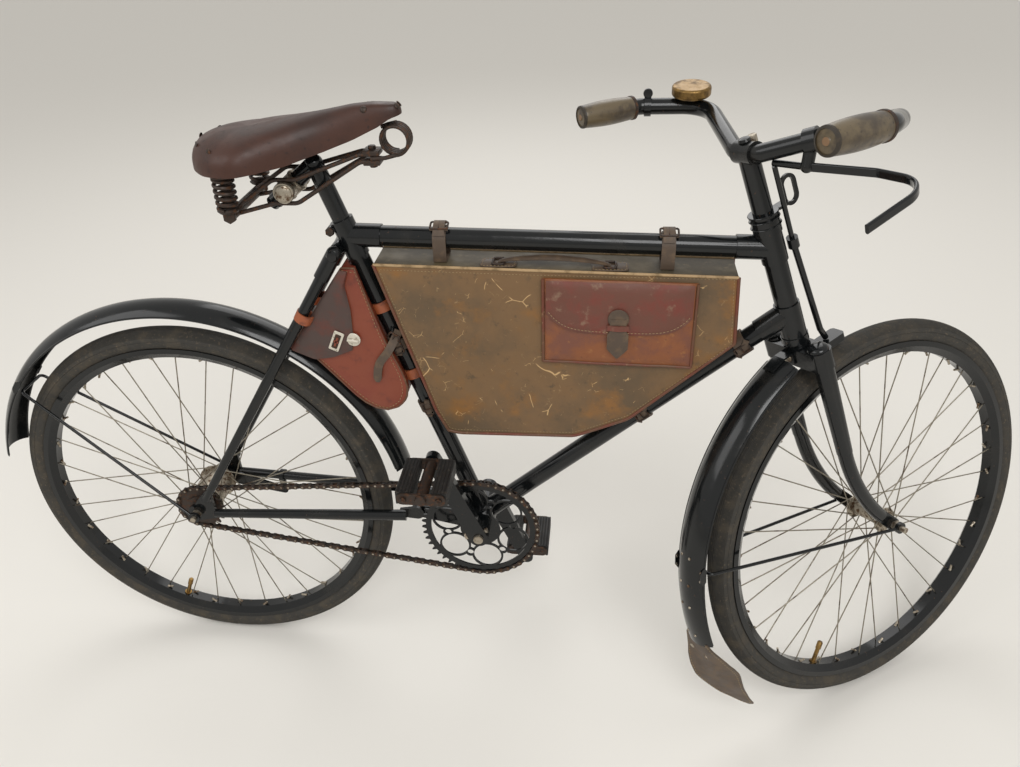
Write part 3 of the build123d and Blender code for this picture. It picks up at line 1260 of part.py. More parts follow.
# Plate that holds the front guard behind the crown
HOLDER_SHEET = 2.5
HOLDER_HALF = 10.0
holder_back = FRONT_GUARD_R + SEAT_GAP
holder_turn = math.radians(FRONT_GUARD_FROM - 90 + HEAD_ANGLE)
holder_u = RAKE + holder_back * math.cos(holder_turn)
holder_w = holder_back * math.sin(holder_turn)
with BuildPart() as guard_holder:
    outline(
        STEER,
        (
            (-CROWN_HALF_DEPTH - SEAT_GAP, CROWN_LOW + 6),
            (-CROWN_HALF_DEPTH - SEAT_GAP, holder_w + HOLDER_SHEET),
            (holder_u - 1, holder_w + HOLDER_SHEET),
            (holder_u - 1, holder_w),
            (-CROWN_HALF_DEPTH - SEAT_GAP - HOLDER_SHEET, holder_w),
            (-CROWN_HALF_DEPTH - SEAT_GAP - HOLDER_SHEET, CROWN_LOW + 6),
        ),
        HOLDER_HALF,
        both=True,
    )
    with BuildSketch(radial(FRONT, FRONT_GUARD_FROM)) as tongue:
        with Locations((holder_back + 0.5 * HOLDER_SHEET, 0)):
            Rectangle(HOLDER_SHEET, 2 * HOLDER_HALF)
    revolve(tongue.sketch, axis=axle_line(FRONT), revolution_arc=4.0)
save(guard_holder, "guard_holder")

with BuildPart() as front_mudguard_stays:
    guard_stay(FRONT, front_stay_y, FRONT_STAY_TURN, FRONT_GUARD_R - STAY_UNDER)
save(front_mudguard_stays, "front_mudguard_stays")

# Leather flap at the front guard's tail, cut to a leaf, its half outline along and across from the middle
FLAP_TO = 233.0
FLAP_MIDDLE = 213.0
FLAP_GAP = 0.05
FLAP_THICKNESS = 3.0
FLAP_R = 375.0
FLAP_LEAF = ((-100, 28), (-70, 33), (-45, 37.5), (-20, 38.5), (10, 35), (60, 22), (122, 2))
with BuildPart() as mud_flap:
    with BuildSketch(radial(FRONT, FRONT_GUARD_TO + FLAP_GAP)) as section:
        with Locations((FLAP_R, 0)):
            Rectangle(FLAP_THICKNESS, 3 * GUARD_HALF_WIDTH)
    revolve(section.sketch, axis=axle_line(FRONT), revolution_arc=FLAP_TO - FRONT_GUARD_TO)
    flap_middle = radial(FRONT, FLAP_MIDDLE)
    leaf_plane = Plane(
        origin=flap_middle.origin + flap_middle.x_dir * RIM_FLANGE_R,
        x_dir=flap_middle.z_dir,
        z_dir=flap_middle.x_dir,
    )
    with BuildSketch(leaf_plane) as leaf:
        with BuildLine():
            Spline(*FLAP_LEAF)
            Polyline(FLAP_LEAF[-1], (FLAP_LEAF[-1][0], 0), (FLAP_LEAF[0][0], 0), FLAP_LEAF[0])
        make_face()
        mirror(about=Plane(origin=leaf_plane.origin, x_dir=leaf_plane.x_dir, z_dir=leaf_plane.y_dir))
    extrude(leaf.sketch, amount=0.5 * FLAP_R, mode=Mode.INTERSECT)
save(mud_flap, "mud_flap")

# Case in the main triangle with its pouch, handle and straps, clear of the tubes
STRAP_THICKNESS = 3.0
STRAP_SPARE = STRAP_THICKNESS + 2 * SEAT_GAP


def clear_of_tubes(spare):
    """Takes the frame's tubes and lugs with some spare room out of the part in hand."""
    rod(down_low, down_head, TUBE_R + spare, Mode.SUBTRACT)
    rod(seat_point(0), seat_point(SEAT_TUBE_TOP), TUBE_R + spare, Mode.SUBTRACT)
    rod(top_seat, top_head, TUBE_R + spare, Mode.SUBTRACT)
    for start, run in ((down_low, down_dir), (down_low, SEAT_UP)):
        rod(start, start + run * (socket_end + 9), lug_r + spare, Mode.SUBTRACT)


CASE_DROP = 31.6
CASE_TOP = tuple((x, on_top_tube(x, CASE_DROP).Z - BB_Z) for x in (-136, 376))
CASE_LOW = ((381, 362), (236, 226), (156, 191), (-26, 188), (-46, 195), (-61, 228))
CASE_CORNER = 8.0
with BuildPart() as frame_case:
    outline(SIDE, CASE_TOP + CASE_LOW, CASE_HALF_WIDTH, corner=CASE_CORNER, both=True)
    clear_of_tubes(STRAP_SPARE)
save(frame_case, "frame_case")

POUCH_THICKNESS = 12.0
with BuildPart() as case_pouch:
    outline(
        SIDE.offset(CASE_HALF_WIDTH + SEAT_GAP),
        ((108, 461), (322, 457), (318, 329), (106, 333)),
        POUCH_THICKNESS,
        corner=8,
    )
save(case_pouch, "case_pouch")

HANDLE_R = 3.5
HANDLE_X = (43.0, 201.0)


def case_top(x, rise=0.0):
    """Point at x above the case's top."""
    return on_top_tube(x, CASE_DROP - rise)


with BuildPart() as case_handle:
    for x in HANDLE_X:
        with Locations(case_top(x, 2 * SEAT_GAP + 1.5)):
            Box(22, 24, 3)
    front_x, back_x = HANDLE_X[1], HANDLE_X[0]
    bent_rod(
        (
            case_top(back_x, 2.5),
            case_top(back_x + 12, 7),
            case_top(front_x - 12, 7),
            case_top(front_x, 2.5),
        ),
        8,
        HANDLE_R - 1.2,
    )
save(case_handle, "case_handle")

STRAP_R = TUBE_R + STRAP_THICKNESS
STRAP_HALF = 10.0
TOP_STRAPS = (-41.0, 280.0)
SEAT_STRAPS = (334.0, 223.0)
DOWN_STRAPS = (396.0, 258.0)
with BuildPart() as straps:
    spots = [(on_top_tube(x), top_dir) for x in TOP_STRAPS]
    spots += [(seat_point(z / math.sin(math.radians(SEAT_ANGLE))), SEAT_UP) for z in SEAT_STRAPS]
    spots += [(down_low + down_dir * (x / down_dir.X), down_dir) for x in DOWN_STRAPS]
    for spot, run in spots:
        rod(spot - run * STRAP_HALF, spot + run * STRAP_HALF, STRAP_R)
    for spot, run in spots:
        rod(spot - run * STRAP_HALF, spot + run * STRAP_HALF, TUBE_R + SEAT_GAP, Mode.SUBTRACT)
save(straps, "straps")

# Tool bag between the seat tube and the stays, its underside draped over the rear guard
BAG_OUTLINE = (
    (-186, 466),
    (-169, 467),
    (-149, 392),
    (-109, 262),
    (-112, 240),
    (-146, 219),
    (-177, 231),
    (-252, 308),
    (-283, 330),
)
BAG_CORNER = 8.0
BAG_SWEEP = (20.0, 70.0)
STAY_SOCKET = 44.3
STAY_BEYOND = 20.0
with BuildPart() as tool_bag:
    outline(SIDE, BAG_OUTLINE, BAG_HALF_WIDTH, corner=BAG_CORNER, both=True)
    clear_of_tubes(STRAP_SPARE)
    with BuildSketch(radial(REAR_GUARD, BAG_SWEEP[0])) as room:
        bow, spread = guard_bend(REAR_GUARD_DEPTH)
        edge_r = REAR_GUARD_R - bow + (bow + SEAT_GAP) * math.cos(spread)
        edge_y = (bow + SEAT_GAP) * math.sin(spread)
        with BuildLine():
            ThreePointArc((edge_r, -edge_y), (REAR_GUARD_R + SEAT_GAP, 0), (edge_r, edge_y))
            Polyline((edge_r, edge_y), (TYRE_R, edge_y), (TYRE_R, -edge_y), (edge_r, -edge_y))
        make_face()
    revolve(
        room.sketch,
        axis=axle_line(REAR_GUARD),
        revolution_arc=BAG_SWEEP[1] - BAG_SWEEP[0],
        mode=Mode.SUBTRACT,
    )
    for side in (-1, 1):
        stay_top = stay_eye + Vector(0, side * STAY_TOP_Y, 0)
        stay_low = stay_foot + Vector(0, side * (foot_inside + 0.6 * STAY_FOOT_R), 0)
        run = (stay_low - stay_top).normalized()
        above = stay_top - run * STAY_BEYOND
        rod(above, stay_low, STAY_R + SEAT_GAP, Mode.SUBTRACT)
        rod(above, stay_top + run * STAY_SOCKET, STAY_TOP_R + SEAT_GAP, Mode.SUBTRACT)
save(tool_bag, "tool_bag")
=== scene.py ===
"""Army roadster bicycle: finishes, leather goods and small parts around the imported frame."""

import json
import math

import bmesh
import bpy
from mathutils import Matrix, Quaternion, Vector
from mathutils import noise as field


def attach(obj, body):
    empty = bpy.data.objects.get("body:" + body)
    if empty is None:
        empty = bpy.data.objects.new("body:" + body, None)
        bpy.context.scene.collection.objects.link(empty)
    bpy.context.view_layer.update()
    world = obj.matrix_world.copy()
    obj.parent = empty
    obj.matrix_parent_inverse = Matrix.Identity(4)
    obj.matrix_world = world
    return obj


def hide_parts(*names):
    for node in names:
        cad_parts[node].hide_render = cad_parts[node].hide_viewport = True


bl_info = {
    "name": "Army roadster bicycle",
    "version": (1, 0, 0),
    "blender": (4, 5, 0),
    "location": "View3D > Sidebar > Roadster",
    "description": "Dresses the packed bicycle with its finishes, leather goods and small parts",
    "category": "Object",
}

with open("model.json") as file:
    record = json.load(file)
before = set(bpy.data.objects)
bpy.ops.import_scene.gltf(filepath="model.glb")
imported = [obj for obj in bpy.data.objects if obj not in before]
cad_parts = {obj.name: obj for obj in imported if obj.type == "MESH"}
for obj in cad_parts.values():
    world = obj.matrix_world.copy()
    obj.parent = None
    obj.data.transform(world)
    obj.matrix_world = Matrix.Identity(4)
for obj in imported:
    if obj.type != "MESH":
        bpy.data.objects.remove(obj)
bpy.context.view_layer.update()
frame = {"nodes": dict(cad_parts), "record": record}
nodes = frame["nodes"]

MM = 0.001

# The bottom bracket in the row frame, in metres, and what other places are counted from, in millimetres
BB = Vector((0.300, 0.0, -0.664))
FLOOR_Z = -0.979
HEAD_ANGLE = math.radians(70.0)
SEAT_ANGLE = math.radians(70.8)
POST_FALL = math.radians(40.0)
STEER_REST = math.radians(34.5)
RAKE = 58.0
AXLE_RISE = 16.0
FRONT_REACH = 657.0
REAR_REACH = 492.0
LEFT = Vector((0.0, 1.0, 0.0))
UP = Vector((0.0, 0.0, 1.0))
HEAD_UP = Vector((-math.cos(HEAD_ANGLE), 0.0, math.sin(HEAD_ANGLE)))
HEAD_AHEAD = Vector((HEAD_UP.z, 0.0, -HEAD_UP.x))
SEAT_UP = Vector((-math.cos(SEAT_ANGLE), 0.0, math.sin(SEAT_ANGLE)))
SEAT_BACK = Vector((-SEAT_UP.z, 0.0, SEAT_UP.x))
POST_BACK = Vector((-math.cos(POST_FALL), 0.0, -math.sin(POST_FALL)))
FORK_AHEAD = HEAD_AHEAD * math.cos(STEER_REST) + LEFT * math.sin(STEER_REST)
FORK_LEFT = LEFT * math.cos(STEER_REST) - HEAD_AHEAD * math.sin(STEER_REST)
FORK_FOOT = BB + (Vector((FRONT_REACH, 0.0, AXLE_RISE)) - HEAD_AHEAD * RAKE) * MM
FRONT_AXLE = FORK_FOOT + FORK_AHEAD * RAKE * MM
REAR_AXLE = BB + Vector((-REAR_REACH, 0.0, AXLE_RISE)) * MM


def at(x, z, y=0.0):
    """Point x ahead of and z above the bottom bracket and y to the left, in millimetres."""
    return BB + Vector((x, y, z)) * MM


def fork_point(u, w, y=0.0):
    """Point u ahead of the steering axis, w above the axle's level and y to the left of the fork."""
    return FORK_FOOT + (FORK_AHEAD * u + HEAD_UP * w + FORK_LEFT * y) * MM


def linear(code):
    """Linear colour of an sRGB hex code."""
    parts = [int(code[i : i + 2], 16) / 255 for i in (1, 3, 5)]
    return tuple(c / 12.92 if c <= 0.04045 else ((c + 0.055) / 1.055) ** 2.4 for c in parts) + (1.0,)


# Materials


def add(tree, kind, inputs=(), **settings):
    """Adds a shader node with its settings, and its inputs as values or as another node's output."""
    node = tree.nodes.new("ShaderNode" + kind)
    for name, value in settings.items():
        setattr(node, name, value)
    for socket, value in inputs:
        if isinstance(value, bpy.types.NodeSocket):
            tree.links.new(value, node.inputs[socket])
        else:
            node.inputs[socket].default_value = value
    return node


def noise(tree, size_mm, detail=4.0, roughness=0.55, stretch=None, distortion=0.0):
    """Noise whose blotches are about size_mm across, on the piece's own coordinates."""
    place = add(tree, "TexCoord").outputs["Object"]
    if stretch:
        place = add(tree, "Mapping", [("Vector", place), ("Scale", stretch)]).outputs[0]
    return add(
        tree,
        "TexNoise",
        [
            ("Vector", place),
            ("Scale", 1.0 / (size_mm * MM)),
            ("Detail", detail),
            ("Roughness", roughness),
            ("Distortion", distortion),
        ],
    ).outputs["Fac"]


def band(tree, value, low, high, out_low=0.0, out_high=1.0):
    """Maps a value from low..high to out_low..out_high, smooth at both ends."""
    return add(
        tree,
        "MapRange",
        [(0, value), (1, low), (2, high), (3, out_low), (4, out_high)],
        interpolation_type="SMOOTHSTEP",
    ).outputs[0]


def blend_colours(tree, amount, under, over):
    mix = add(tree, "Mix", [(0, amount), (6, under), (7, over)], data_type="RGBA")
    return mix.outputs[2]


def creases(tree, size_mm, width):
    """Mask of thin broken lines, such as scratches and creases, about size_mm apart."""
    place = add(tree, "TexCoord").outputs["Object"]
    warp = add(tree, "TexNoise", [("Vector", place), ("Scale", 0.6 / (size_mm * MM)), ("Detail", 3.0)])
    bent = add(
        tree,
        "VectorMath",
        [(0, warp.outputs["Color"]), (1, (size_mm * MM, size_mm * MM, size_mm * MM)), (2, place)],
        operation="MULTIPLY_ADD",
    ).outputs[0]
    cells = add(
        tree,
        "TexVoronoi",
        [("Vector", bent), ("Scale", 1.0 / (size_mm * MM))],
        feature="DISTANCE_TO_EDGE",
    ).outputs["Distance"]
    line = band(tree, cells, 0.0, width, 1.0, 0.0)
    where = band(tree, noise(tree, 0.8 * size_mm, 3.0), 0.61, 0.66)
    return add(tree, "Math", [(0, line), (1, where)], operation="MULTIPLY").outputs[0]


def start_material(name):
    material = bpy.data.materials.new(name)
    material.use_nodes = True
    tree = material.node_tree
    shader = tree.nodes["Principled BSDF"]
    return material, tree, shader


finishes = {}


def weathered(
    name,
    base,
    rough,
    spots=(),
    metallic=0.0,
    coat=0.0,
    rough_size=30.0,
    bump=(),
    specular=0.5,
    sheen=0.0,
    scratches=(),
):
    """
    Makes a finish of a base colour with patches over it, and keeps it under its name.
    Each spot is (size_mm, from, to, colour, roughness, stretch), each bump (size_mm, depth_mm, stretch),
    each set of scratches (size_mm, width, colour).
    """
    material, tree, shader = start_material(name)
    colour = linear(base) if isinstance(base, str) else (*base, 1.0)
    gloss = band(tree, noise(tree, rough_size, 5.0), 0.3, 0.7, rough[0], rough[1])
    for size, low, high, code, spot_rough, stretch in spots:
        mask = band(tree, noise(tree, size, 6.0, 0.62, stretch), low, high)
        colour = blend_colours(tree, mask, colour, linear(code))
        gloss = add(tree, "Mix", [(0, mask), (2, gloss), (3, spot_rough)], data_type="FLOAT").outputs[0]
    for size, width, code in scratches:
        mask = creases(tree, size, width)
        colour = blend_colours(tree, mask, colour, linear(code))
    if isinstance(colour, tuple):
        shader.inputs["Base Color"].default_value = colour
    else:
        tree.links.new(colour, shader.inputs["Base Color"])
    tree.links.new(gloss, shader.inputs["Roughness"])
    shader.inputs["Metallic"].default_value = metallic
    shader.inputs["Specular IOR Level"].default_value = specular
    shader.inputs["Coat Weight"].default_value = coat
    shader.inputs["Coat Roughness"].default_value = 0.12
    shader.inputs["Sheen Weight"].default_value = sheen
    normal = None
    for size, depth, stretch in bump:
        height = noise(tree, size, 4.0, 0.6, stretch)
        links = [("Height", height), ("Distance", depth * MM), ("Strength", 1.0)]
        if normal:
            links.append(("Normal", normal))
        normal = add(tree, "Bump", links).outputs[0]
    if normal:
        tree.links.new(normal, shader.inputs["Normal"])
    finishes[name] = material


def make_finishes(colours):
    """All finishes, each named for what it is."""
    # Stove enamel, glossy and black, dulled by age, with small brown rust specks
    weathered(
        "black_enamel",
        colours.enamel,
        (0.1, 0.22),
        spots=(
            (60.0, 0.50, 0.75, "#191816", 0.34, None),
            (5.0, 0.66, 0.72, "#4a3323", 0.7, None),
        ),
        coat=0.15,
        rough_size=40.0,
        specular=0.32,
        bump=((14.0, 0.10, None), (1.2, 0.01, None)),
    )
    # Nickel plate gone dull, thin brown rust in patches
    weathered(
        "worn_nickel",
        "#a49b8c",
        (0.28, 0.45),
        spots=((9.0, 0.48, 0.62, "#5f4a38", 0.6, None), (2.0, 0.62, 0.7, "#3c2c20", 0.7, None)),
        metallic=0.85,
        rough_size=8.0,
        bump=((1.5, 0.03, None),),
    )
    # Bare steel browned by rust and old oil
    weathered(
        "browned_steel",
        "#3a302a",
        (0.38, 0.6),
        spots=((6.0, 0.5, 0.66, "#5a3c28", 0.72, None), (2.0, 0.58, 0.7, "#1e1a18", 0.5, None)),
        metallic=0.55,
        rough_size=6.0,
        bump=((1.0, 0.04, None),),
    )
    # Plated wire of the spokes, dull grey with rust
    weathered(
        "spoke_wire",
        "#8d8678",
        (0.35, 0.5),
        spots=((20.0, 0.5, 0.68, "#57493c", 0.65, None),),
        metallic=0.75,
        rough_size=10.0,
    )
    # Cast and spun brass, darkened to brown with brighter touched places
    weathered(
        "aged_brass",
        colours.brass,
        (0.3, 0.42),
        spots=((16.0, 0.46, 0.66, "#5f4a2c", 0.5, None), (3.0, 0.6, 0.72, "#3e3222", 0.6, None)),
        metallic=0.85,
        rough_size=10.0,
        bump=((2.0, 0.02, None),),
    )
    # Old tyre rubber, grey black with dried dust in the mould marks
    weathered(
        "tyre_rubber",
        colours.tyre,
        (0.62, 0.8),
        spots=((25.0, 0.45, 0.7, "#464037", 0.85, None), (4.0, 0.56, 0.7, "#5a5043", 0.9, None)),
        specular=0.35,
        bump=((1.2, 0.10, None),),
    )
    # Hardened black rubber of the pedal blocks
    weathered(
        "block_rubber",
        "#181716",
        (0.5, 0.7),
        spots=((6.0, 0.55, 0.7, "#3a332c", 0.85, None),),
        bump=((1.5, 0.08, None),),
    )
    # Horn-like moulded grip, olive brown, darker where hands wore it
    weathered(
        "horn_grip",
        colours.grip,
        (0.3, 0.45),
        spots=((40.0, 0.42, 0.64, "#3a3024", 0.4, None), (4.0, 0.6, 0.72, "#2c241b", 0.5, None)),
        coat=0.2,
        bump=((3.0, 0.05, None),),
    )
    # Thick vegetable-tanned saddle hide, red brown and polished by use, darker in the hollows
    weathered(
        "saddle_hide",
        colours.saddle,
        (0.36, 0.55),
        spots=(
            (70.0, 0.42, 0.66, "#301c15", 0.48, None),
            (9.0, 0.58, 0.72, "#281814", 0.6, None),
            (3.0, 0.66, 0.74, "#5e3a2a", 0.6, None),
        ),
        coat=0.03,
        specular=0.38,
        rough_size=25.0,
        bump=((18.0, 0.35, None), (1.6, 0.06, None)),
    )
    # Hide of the case, ochre gone olive and brown, stained, with pale scratches
    weathered(
        "case_hide",
        colours.case,
        (0.42, 0.58),
        spots=(
            (150.0, 0.42, 0.64, "#584630", 0.55, None),
            (60.0, 0.52, 0.74, "#7d5526", 0.48, None),
            (18.0, 0.56, 0.74, "#50402b", 0.58, None),
            (7.0, 0.66, 0.76, "#8d6b41", 0.6, (0.4, 1.0, 1.4)),
        ),
        rough_size=30.0,
        bump=((22.0, 0.3, None), (1.8, 0.05, None)),
        scratches=((62.0, 0.014, "#c4a272"), (30.0, 0.014, "#bf9d6c"), (17.0, 0.014, "#9d8058")),
    )
    # The case's top and ends, greyer, less polished
    weathered(
        "case_gusset",
        "#50452f",
        (0.55, 0.7),
        spots=((60.0, 0.42, 0.64, "#423a2c", 0.65, None), (14.0, 0.58, 0.72, "#63553a", 0.6, None)),
        bump=((16.0, 0.3, None), (1.6, 0.06, None)),
    )
    # Folded edge binding, red brown, rubbed pale on its crest
    weathered(
        "seam_leather",
        "#5b3c27",
        (0.45, 0.6),
        spots=((30.0, 0.42, 0.62, "#63301f", 0.5, None), (9.0, 0.58, 0.72, "#84664a", 0.6, None)),
        bump=((6.0, 0.2, None),),
    )
    # Folded top edge binding, paler than the other seams: a painted highlight where light falls on the top
    weathered(
        "top_binding_highlight",
        "#a08560",
        (0.5, 0.65),
        spots=((16.0, 0.46, 0.66, "#77603f", 0.6, None),),
        bump=((5.0, 0.15, None),),
    )
    # Waxed linen thread, yellowed
    weathered("waxed_thread", "#94805c", (0.6, 0.8))
    # Pouch body, orange brown, blotched dark
    weathered(
        "pouch_hide",
        colours.pouch,
        (0.42, 0.58),
        spots=(
            (60.0, 0.48, 0.66, "#6b4030", 0.55, None),
            (14.0, 0.58, 0.74, "#8b5a30", 0.5, None),
            (5.0, 0.60, 0.74, "#5e3522", 0.6, None),
        ),
        bump=((12.0, 0.3, None), (1.5, 0.05, None)),
    )
    # Pouch flap, dull red brown
    weathered(
        "flap_hide",
        "#5f372a",
        (0.4, 0.56),
        spots=((50.0, 0.44, 0.64, "#6b2f24", 0.5, None), (22.0, 0.56, 0.72, "#7d6350", 0.6, None)),
        bump=((14.0, 0.3, None), (1.5, 0.05, None)),
    )
    # Tool bag hide, red brown, oiled dark along its seams
    weathered(
        "bag_hide",
        colours.bag,
        (0.4, 0.56),
        spots=((55.0, 0.42, 0.66, "#74301f", 0.5, None), (30.0, 0.54, 0.72, "#5f2a1d", 0.5, None)),
        bump=((14.0, 0.3, None), (1.5, 0.05, None)),
    )
    # Tool bag flap, dark plum brown, dull
    weathered(
        "bag_flap_hide",
        "#44342f",
        (0.45, 0.62),
        spots=((60.0, 0.46, 0.7, "#5d2c20", 0.55, None), (12.0, 0.6, 0.74, "#55413a", 0.6, None)),
        bump=((18.0, 0.3, None), (1.5, 0.05, None)),
    )
    # Newer tan strap, orange brown
    weathered(
        "tan_strap",
        "#8f4c2c",
        (0.42, 0.58),
        spots=((14.0, 0.5, 0.7, "#6b3722", 0.55, None),),
        bump=((4.0, 0.12, None),),
    )
    # Copper rivet end, dull
    weathered("aged_copper", "#84684e", (0.45, 0.6), metallic=0.4)
    # Bright plated lock plate and catch
    weathered(
        "lock_plate", "#cfc9bb", (0.32, 0.46), spots=((5.0, 0.56, 0.7, "#7c7763", 0.55, None),), metallic=0.5
    )
    # Chain rollers and inner plates, black with oil
    weathered(
        "oily_steel",
        "#25201c",
        (0.3, 0.5),
        spots=((7.0, 0.5, 0.68, "#43301f", 0.65, None),),
        metallic=0.6,
    )
    # Grip's end cap, worn dark
    weathered("grip_end", "#2b241b", (0.45, 0.6), spots=((5.0, 0.5, 0.7, "#3d3325", 0.6, None),))
    # Dark oiled strap leather
    weathered(
        "dark_strap",
        "#4a3c30",
        (0.45, 0.62),
        spots=((18.0, 0.46, 0.66, "#5c4a38", 0.6, None),),
        bump=((5.0, 0.15, None), (1.2, 0.04, None)),
    )
    # Harness leather, red brown, dark where oiled
    weathered(
        "harness_leather",
        "#73371f",
        (0.42, 0.6),
        spots=((26.0, 0.45, 0.66, "#4d2618", 0.5, None), (4.0, 0.6, 0.72, "#2f1e17", 0.65, None)),
        coat=0.08,
        bump=((10.0, 0.2, None), (1.4, 0.05, None)),
    )


CAD_FINISH = {
    "painted": "black_enamel",
    "steel": "worn_nickel",
    "dark_steel": "browned_steel",
    "spoke_steel": "spoke_wire",
    "brass": "aged_brass",
    "tyre": "tyre_rubber",
    "rubber": "block_rubber",
    "grip": "horn_grip",
    "saddle_leather": "saddle_hide",
    "case_leather": "case_hide",
    "strap_leather": "harness_leather",
}


def dress_nodes():
    """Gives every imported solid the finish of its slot."""
    for part in frame["record"]["subparts"]:
        node = nodes[part["node"]]
        node.data.materials.clear()
        node.data.materials.append(finishes[CAD_FINISH[part["material_slot"]]])


def blend_points(points, share):
    """Point at a share of a list of evenly spread points, joined by a smooth curve."""
    spot = min(max(share, 0.0), 1.0) * (len(points) - 1)
    index = min(int(spot), len(points) - 2)
    t = spot - index
    a = points[max(index - 1, 0)]
    b, c = points[index], points[index + 1]
    d = points[min(index + 2, len(points) - 1)]
    return (b * 2 + (c - a) * t + (a * 2 - b * 5 + c * 4 - d) * t**2 + (b * 3 - a - c * 3 + d) * t**3) * 0.5


def curve(points, steps):
    """Smooth path through points."""
    points = [Vector(p) for p in points]
    return [blend_points(points, i / steps) for i in range(steps + 1)]


def rounded(points, bend, closed=False, steps=6):
    """Path through corners that are rounded with one radius in metres."""
    points = [Vector(p) for p in points]
    count = len(points)
    path = []
    for i, corner in enumerate(points):
        if not closed and i in (0, count - 1):
            path.append(corner)
            continue
        back = points[i - 1] - corner
        ahead = points[(i + 1) % count] - corner
        turn = math.pi - back.angle(ahead)
        reach = min(bend * math.tan(turn / 2), 0.49 * back.length, 0.49 * ahead.length)
        start = corner + back.normalized() * reach
        end = corner + ahead.normalized() * reach
        for k in range(steps + 1):
            t = k / steps
            path.append(start * (1 - t) ** 2 + corner * 2 * t * (1 - t) + end * t**2)
    return path


def spaced(path, pitch, closed=False):
    """Points and directions at an even pitch in metres along a path."""
    run = path + path[:1] if closed else path
    total = sum((b - a).length for a, b in zip(run, run[1:]))
    count = max(int(total / pitch), 1)
    step = total / count
    marks, reached, wanted = [], 0.0, 0.5 * step
    for a, b in zip(run, run[1:]):
        length = (b - a).length
        while length and reached + length >= wanted and len(marks) < count:
            marks.append((a.lerp(b, (wanted - reached) / length), (b - a) / length))
            wanted += step
        reached += length
    return marks


def facing(point, direction, up=(0.0, 0.0, 1.0)):
    """Place at a point with z along the direction and y near to up."""
    ahead = Vector(direction).normalized()
    lift = Vector(up)
    if abs(lift.normalized().dot(ahead)) > 0.99:
        lift = Vector((1.0, 0.0, 0.0))
    lift = (lift - ahead * lift.dot(ahead)).normalized()
    turn = Matrix((lift.cross(ahead), lift, ahead)).transposed()
    return Matrix.Translation(point) @ turn.to_4x4()


def stations(path, up, closed=False):
    """Places along a path, z ahead and y carried on from up round the bends."""
    places = []
    lift = Vector(up)
    for i, spot in enumerate(path):
        before = path[i - 1] if closed or i else spot
        after = path[(i + 1) % len(path)] if closed or i < len(path) - 1 else spot
        place = facing(spot, after - before, lift)
        lift = place.to_3x3() @ Vector((0.0, 1.0, 0.0))
        places.append(place)
    return places


def edges_of(verts):
    return {edge for vert in verts for edge in vert.link_edges}


def tint_new(bm, known, tint):
    """Gives a finish's number to the faces made since known was noted."""
    for face in bm.faces:
        if face not in known:
            face.material_index = tint


def sweep(
    bm, path, across, height=None, up=UP, sides=12, closed=False, square=False, taper=None, tint=0
):
    """Draws a section along a path, round or flat with square edges, from its half sizes in mm."""
    known = set(bm.faces)
    height = across if height is None else height
    shape = Matrix.Diagonal((across * MM, height * MM, 1.0, 1.0))
    if square:
        sides = 4
        shape = shape @ Matrix.Scale(math.sqrt(2.0), 4) @ Matrix.Rotation(math.pi / 4, 4, "Z")
    places = []
    for i, place in enumerate(stations(path, up, closed)):
        scale = taper(i / (len(path) - 1)) if taper else 1.0
        places.append(place @ Matrix.Diagonal((scale, scale, 1.0, 1.0)) @ shape)
    ring = bmesh.ops.create_circle(bm, segments=sides, radius=1.0, cap_ends=not closed, matrix=places[0])
    edges = list(edges_of(ring["verts"]))
    first_edges = edges
    for here, there in zip(places, places[1:]):
        made = bmesh.ops.extrude_edge_only(bm, edges=edges)["geom"]
        verts = {item for item in made if isinstance(item, bmesh.types.BMVert)}
        edges = [item for item in made if isinstance(item, bmesh.types.BMEdge) and set(item.verts) <= verts]
        bmesh.ops.transform(bm, verts=list(verts), matrix=there @ here.inverted())
    if closed:
        bmesh.ops.bridge_loops(bm, edges=first_edges + edges)
    else:
        bmesh.ops.contextual_create(bm, geom=edges)
    tint_new(bm, known, tint)


def lathe(bm, profile, place, steps=24, tint=0):
    """Turned shape, its profile given as radius and height in mm above the place."""
    known = set(bm.faces)
    verts = [bm.verts.new(place @ Vector((radius * MM, 0.0, rise * MM))) for radius, rise in profile]
    edges = [bm.edges.new(pair) for pair in zip(verts, verts[1:])]
    bmesh.ops.spin(
        bm,
        geom=verts + edges,
        cent=place.translation,
        axis=place.to_3x3() @ Vector((0.0, 0.0, 1.0)),
        angle=math.tau,
        steps=steps,
        use_merge=True,
    )
    tint_new(bm, known, tint)


def rivet(bm, point, direction, radius, rise, steps=10, tint=0):
    """Round head on a surface, sunk a little into it."""
    profile = ((radius, -0.3), (radius, 0.2 * rise), (0.75 * radius, 0.75 * rise), (0.0, rise))
    lathe(bm, profile, facing(point, direction), steps, tint)


def soften(bm, edges, offset):
    """Rounds edges by an offset in mm."""
    bmesh.ops.bevel(
        bm, geom=list(edges), offset=offset * MM, segments=2, affect="EDGES", profile=0.5, material=-1
    )


def rim_of(verts):
    """Border edges of a sheet, given its vertices."""
    return [edge for edge in edges_of(verts) if edge.is_boundary]


def hexagon(bm, place, across, rise, tint=0):
    """Hexagon nut with its edges broken, standing on the place."""
    known = set(bm.faces)
    corner = across / math.sqrt(3.0) * MM
    made = bmesh.ops.create_cone(
        bm,
        cap_ends=True,
        segments=6,
        radius1=corner,
        radius2=corner,
        depth=rise * MM,
        matrix=place @ Matrix.Translation((0.0, 0.0, 0.5 * rise * MM)),
    )
    soften(bm, edges_of(made["verts"]), 0.06 * across)
    tint_new(bm, known, tint)


